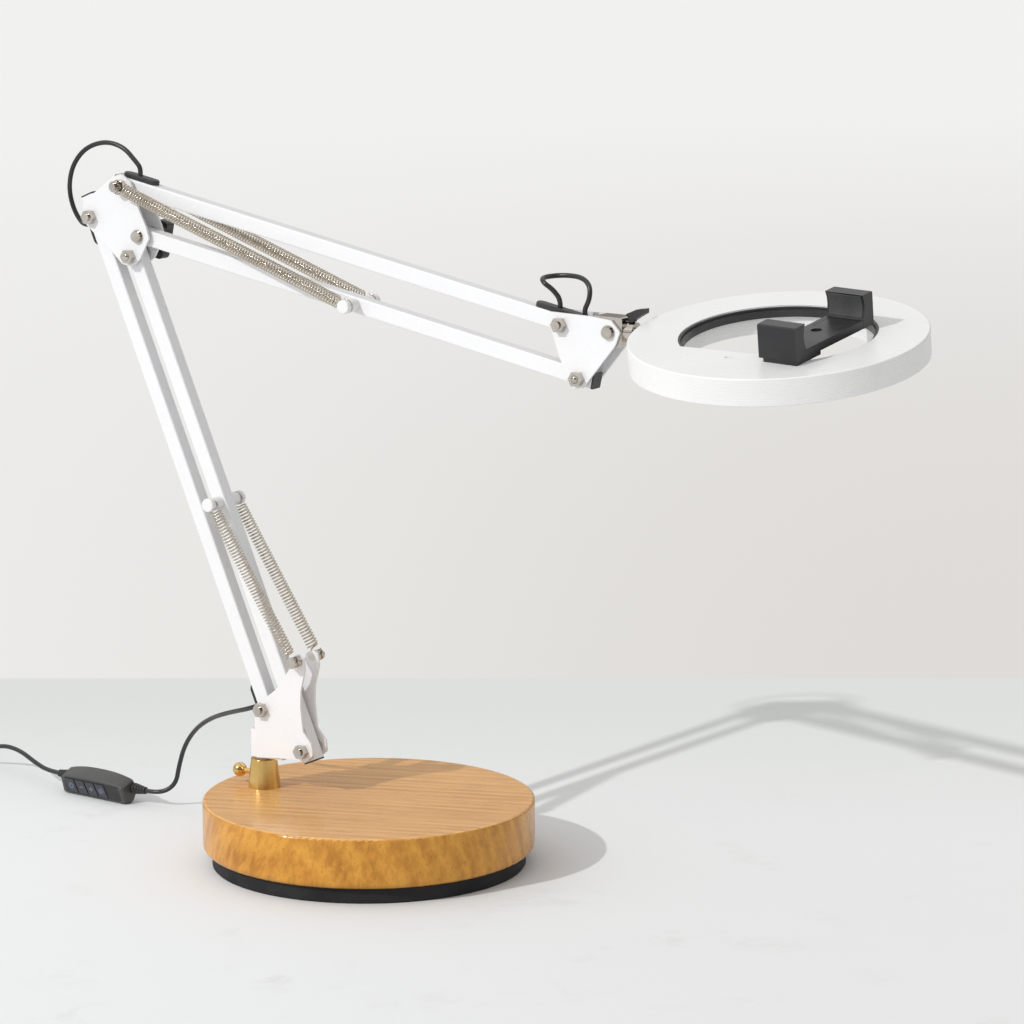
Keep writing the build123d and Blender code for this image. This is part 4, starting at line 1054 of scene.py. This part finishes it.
@dataclass
class Controller:
    """In-line controller: barrel-shaped case, strain reliefs and marks on its buttons.

    Sizes are in millimetres.
    """

    stations: int = 15
    corner_reach: float = 2.4
    crown_drop: float = 0.16
    rim_step: float = 1.3
    relief_ribs: int = 5
    relief_root: float = 4.5
    relief_taper: float = 1.5
    groove_depth: float = 1.1
    stroke_half: float = 0.35
    stroke_sunk: float = 0.3
    stroke_proud: float = 0.05

    def section(self, along: float) -> list[Vector]:
        """Outline of the case at one station.

        Args:
            along: distance from the middle, in millimetres.

        Returns:
            Points of the outline, as (forward, height, 0).
        """
        crown = 1.0 - self.crown_drop * (abs(along) / CASE_HALF) ** 2.4
        corners = [(-6.0, 0.0), (3.7, 0.0), (8.1, 17.0 * crown), (-5.5, 24.0 * crown), (-12.0, 11.0)]
        rounded: list[Vector] = []
        count = len(corners)
        for i, corner in enumerate(corners):
            here = Vector((*corner, 0))
            last = Vector((*corners[i - 1], 0))
            following = Vector((*corners[(i + 1) % count], 0))
            a = here + (last - here).normalized() * self.corner_reach
            b = here + (following - here).normalized() * self.corner_reach
            for k in range(5):
                t = k / 4
                rounded.append(a * (1 - t) ** 2 + here * 2 * t * (1 - t) + b * t * t)
        return rounded

    def build_case(self) -> None:
        """Loft the case through its sections, with its ends drawn in."""
        points: list[Vector] = []
        rim = CASE_HALF - self.rim_step
        inner = [CASE_HALF * (2 * i / (self.stations - 1) - 1) for i in range(1, self.stations - 1)]
        places = [(-CASE_HALF, 0.86), (-rim, 0.985), *((along, 1.0) for along in inner),
                  (rim, 0.985), (CASE_HALF, 0.86)]
        middle = Vector((-3.0, 11.5, 0))
        for along, drawn in places:
            for p in self.section(along):
                q = middle + (p - middle) * drawn
                points.append(on_controller(q.x * MM, max(0.0, q.y) * MM, along * MM))
        sides = len(points) // len(places)
        case = add_mesh("controller_case", points, tube_faces(len(places), sides))
        case.data.set_sharp_from_angle(angle=math.radians(34))
        dress(case, CASE_BLACK)
        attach(case, "base")
        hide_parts("controller_back")
        report(case, "case of the controller")

    def build_reliefs(self) -> None:
        """Turn the ribbed, tapered strain relief at each end."""
        profile: list[tuple[float, float]] = [(-1.0, self.relief_root)]
        ribs = self.relief_ribs
        for i in range(ribs):
            outer = self.relief_root - self.relief_taper * i / (ribs - 1)
            start = RELIEF_SPAN * i / ribs
            groove = outer - self.groove_depth
            profile += [(start + 0.15, groove), (start + 0.75, groove), (start + 1.0, outer - 0.2),
                        (start + 1.3, outer), (start + 2.3, outer), (start + 2.6, outer - 0.2)]
        profile += [(RELIEF_SPAN, 2.4), (RELIEF_SPAN, 1.9)]
        for side, name in ((-1, "relief_lamp_side"), (1, "relief_plug_side")):
            start = on_controller(-CORD_INSET, CORD_HEIGHT, side * HALF_CONTROLLER)
            relief = turned(name, start, TO_PLUG * side, profile)
            dress(relief, BLACK_MOULDED)
            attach(relief, "base")
            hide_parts("strain_reliefs")
            report(relief, "strain relief")

    def build_marks(self) -> None:
        """Lay one plain sign on each button: power, less, more and light."""
        for number in range(1, 5):
            low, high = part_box(f"button_{number}")
            centre = (low + high) / 2
            rise = Vector((4.5, 17.0)).normalized()
            out = TO_FRONT * rise.y - UP * rise.x
            upward = TO_FRONT * rise.x + UP * rise.y
            along = -TO_PLUG
            button = frame["nodes"][f"button_{number}"].data
            face = max(v.co.dot(out) for v in button.vertices)
            centre = centre + out * (face - centre.dot(out) + self.stroke_proud * MM)
            points: list[Vector] = []
            faces: list[tuple[int, ...]] = []
            for a, b in ((Vector(p), Vector(q)) for p, q in self.strokes(number)):
                side = (b - a).orthogonal().normalized() * self.stroke_half
                first = len(points)
                for depth in (0.0, -self.stroke_sunk):
                    for q in (a + side, b + side, b - side, a - side):
                        points.append(centre + (along * q.x + upward * q.y + out * depth) * MM)
                faces += [tuple(first + k for k in quad) for quad in (
                    (0, 1, 2, 3), (7, 6, 5, 4), (0, 4, 5, 1), (1, 5, 6, 2), (2, 6, 7, 3),
                    (3, 7, 4, 0))]
            mark = add_mesh(f"button_{number}_mark", points, faces, smooth=False)
            dress(mark, PRINT_BLUE)
            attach(mark, f"button_{number}")
            report(mark, "printed sign")

    @staticmethod
    def arc(radius: float, start: float, turn: float, steps: int) -> list[Stroke]:
        """Strokes that follow an arc round the button's middle.

        Args:
            radius: the arc's radius, in millimetres.
            start: angle where it starts.
            turn: angle that it covers.
            steps: how many strokes it has.

        Returns:
            The strokes, end to end.
        """
        angles = [start + turn * k / steps for k in range(steps + 1)]
        ends = [(radius * math.cos(a), radius * math.sin(a)) for a in angles]
        return list(zip(ends, ends[1:]))

    def strokes(self, number: int) -> list[Stroke]:
        """Strokes of a button's sign, in millimetres from the button's middle.

        Args:
            number: the button's number.

        Returns:
            The strokes of power, less, more or light.
        """
        bar = ((-2.0, 0), (2.0, 0))
        if number == 1:
            ring = self.arc(2.0, math.radians(125), math.radians(290), 14)
            return ring + [((0, 0.4), (0, 2.6))]
        if number == 2:
            return [bar]
        if number == 3:
            return [bar, ((0, -2.0), (0, -0.35)), ((0, 0.35), (0, 2.0))]
        ways = [(math.cos(a), math.sin(a)) for a in (TAU * k / 8 for k in range(8))]
        rays = [((2.1 * x, 2.1 * y), (2.9 * x, 2.9 * y)) for x, y in ways]
        return self.arc(1.3, 0, TAU, 14) + rays


# ------------------------------------------------------------------ phone clamp


@dataclass
class JawPad:
    """Cross-cut grip on the hollow inner face of a jaw. Sizes are in millimetres."""

    name: str
    body: str
    side: int
    half_width: float = 13.6
    low: float = 10.2
    high: float = 25.8
    pitch: float = 2.0
    tooth: float = 0.6
    cell: float = 0.4
    proud: float = 0.15
    sunk: float = 0.7
    jaw_reach: float = 36.5
    hollow_half: float = 9.0
    hollow_sag: float = 2.2
    hollow_middle: float = 18.0

    def face(self, height: float) -> float:
        """Distance of the jaw's hollow face from the clamp's middle.

        Args:
            height: height above the ring's face, in millimetres.

        Returns:
            The distance, in millimetres.
        """
        half, sag = self.hollow_half, self.hollow_sag
        radius = (half * half + sag * sag) / (2 * sag)
        rise = math.sqrt(radius ** 2 - (height - self.hollow_middle) ** 2)
        return self.jaw_reach + rise - (radius - sag)

    def build(self) -> None:
        """Make the grip as a closed plate with a cross-cut front, its back sunk in the jaw."""
        columns = round(2 * self.half_width / self.cell)
        rows = round((self.high - self.low) / self.cell)
        points: list[Vector] = []
        for layer in (0, 1):
            for j in range(rows + 1):
                height = self.low + (self.high - self.low) * j / rows
                for i in range(columns + 1):
                    a = -self.half_width + 2 * self.half_width * i / columns
                    edge = i in (0, columns) or j in (0, rows)
                    cut = sum(abs(((a * k + height) / self.pitch) % 1.0 - 0.5) for k in (-1, 1))
                    proud = self.proud if edge else self.proud + self.tooth * cut
                    reach = self.face(height) + (self.sunk if layer else -proud)
                    points.append(CLAMP_CENTRE + (CLAMP_X * a + CLAMP_Y * self.side * reach
                                                  + RING_N * height) * MM)
        width = columns + 1
        size = width * (rows + 1)
        faces: list[tuple[int, ...]] = []
        for j in range(rows):
            for i in range(columns):
                quad = (j * width + i, j * width + i + 1, (j + 1) * width + i + 1,
                        (j + 1) * width + i)
                faces += [quad, tuple(size + k for k in reversed(quad))]
        rim = ([i for i in range(width)] + [j * width + columns for j in range(1, rows + 1)]
               + [rows * width + i for i in range(columns - 1, -1, -1)]
               + [j * width for j in range(rows - 1, 0, -1)])
        faces += [(a, b, size + b, size + a) for a, b in zip(rim, rim[1:] + rim[:1])]
        pad = add_mesh(self.name, points, faces, smooth=False)
        dress(pad, PAD_BLACK)
        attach(pad, self.body)
        report(pad, "jaw grip")


# ------------------------------------------------------------------ carried-over CAD nodes


@dataclass
class CadDress:
    """Finishes and softened edges of the CAD nodes that stay on show."""

    edge: float = 0.35 * MM

    def build(self) -> None:
        """Dress every CAD node that is still shown."""
        for row in frame["record"]["subparts"]:
            node = frame["nodes"][row["node"]]
            if node.hide_render:
                continue
            dress(node, SLOT_FINISHES[row["material_slot"]])
            self.soften(node)
            report(node, row["material_slot"])

    def soften(self, node: bpy.types.Object) -> None:
        """Break a node's sharp edges by a hair.

        Args:
            node: the node's object.
        """
        bevel = node.modifiers.new("edge", "BEVEL")
        bevel.width = self.edge
        bevel.segments = 2
        bevel.limit_method = "ANGLE"
        bevel.angle_limit = math.radians(40)
        bevel.harden_normals = False


# ------------------------------------------------------------------ the whole lamp


def elbow_route() -> list[Vector]:
    """Route of the cable loop over the elbow.

    Returns:
        Its control points.
    """
    places = [(-240.7, 478.5), (-250.6, 474.3), (-259.5, 483), (-265, 495.5), (-266, 509),
              (-261, 524), (-248.5, 536.5), (-230, 542), (-213, 538.5), (-202, 528.5),
              (-195.8, 522.1), (-197.7, 512.6)]
    return [mm(x, ARM_Y, z) for x, z in places]


def head_route() -> list[Vector]:
    """Route of the cable loop at the head.

    Returns:
        Its control points.
    """
    places = [(178.9, 0, 438.1), (180.65, 0, 447.1), (176.5, -5, 456), (170, -8, 461),
              (164.4, -1, 463.4), (168.5, 8.5, 464.2), (180, 11, 465), (193.5, 8, 464.5),
              (202.5, 3.5, 459.5), (203.5, 1, 450), (199.5, 0, 442), (202, 0, 435.5),
              (209, 0, 433.9), (215.5, 0, 433.8)]
    return [mm(x, ARM_Y + y, z) for x, y, z in places]


def lead_route() -> list[Vector]:
    """Route of the lead from the arm's foot to the controller.

    Returns:
        Its control points.
    """
    places = [(-87.0, -15.0, 116.3), (-99.1, -15.0, 111.15), (-129.0, 0.0, 101.5),
              (-161.0, 20.0, 89.5), (-190.0, 38.0, 74.0), (-211.0, 50.0, 54.5),
              (-220.5, 54.5, 34.0), (-223.5, 55.0, 21.0), (-230.5, 51.5, 13.8),
              (-239.9, 47.0, 12.2)]
    end = on_controller(-CORD_INSET, CORD_HEIGHT, -HALF_CONTROLLER - RELIEF_LENGTH)
    return [*(mm(*p) for p in places), end]


def main() -> None:
    """Build every piece in order."""
    logging.basicConfig(level=logging.INFO, format="%(name)s %(message)s")
    studio = Studio(camera_at=mm(1777.6, -2636.4, 860.8))
    studio.place_camera()

    ArmCable("elbow_loop", "elbow_cable", elbow_route(),
             ("lower_rear_arm", "elbow", "upper_top_arm"), meet=6).build()
    ArmCable("head_loop", "head_cable", head_route(),
             ("upper_top_arm", "head", "tilting_block"), meet=6).build()
    ArmCable("lead", "cord_lead", lead_route(),
             ("lower_rear_arm", "bracket", "base"), meet=2).build()
    plug = [frame["nodes"][n] for n in ("plug_body", "plug_shell")]
    LooseCord(coil_centre=mm(-500.0, 100.0, 0.0)).build(plug, mm(-507.0, 58.0, 4.2))

    studio.lay_floor()
    studio.light()
    studio.surround()

    for label, side in (("near", -1), ("far", 1)):
        offset = SPRING_SIDE * side
        BalanceSpring(f"lower_spring_{label}", "lower_springs", LOWER_PIN + offset,
                      SPRING_STUD + offset, ("lower_front_arm", "bracket")).build()
        BalanceSpring(f"upper_spring_{label}", "upper_springs", TOP_ELBOW + offset,
                      UPPER_PIN + offset, ("elbow", "upper_bottom_arm")).build()

    controller = Controller()
    controller.build_case()
    controller.build_reliefs()
    controller.build_marks()
    JawPad("front_jaw_grip", "ring_light", -1).build()
    JawPad("back_jaw_grip", "clamp_jaw", 1).build()
    CadDress().build()


if __name__ == "__main__":
    main()
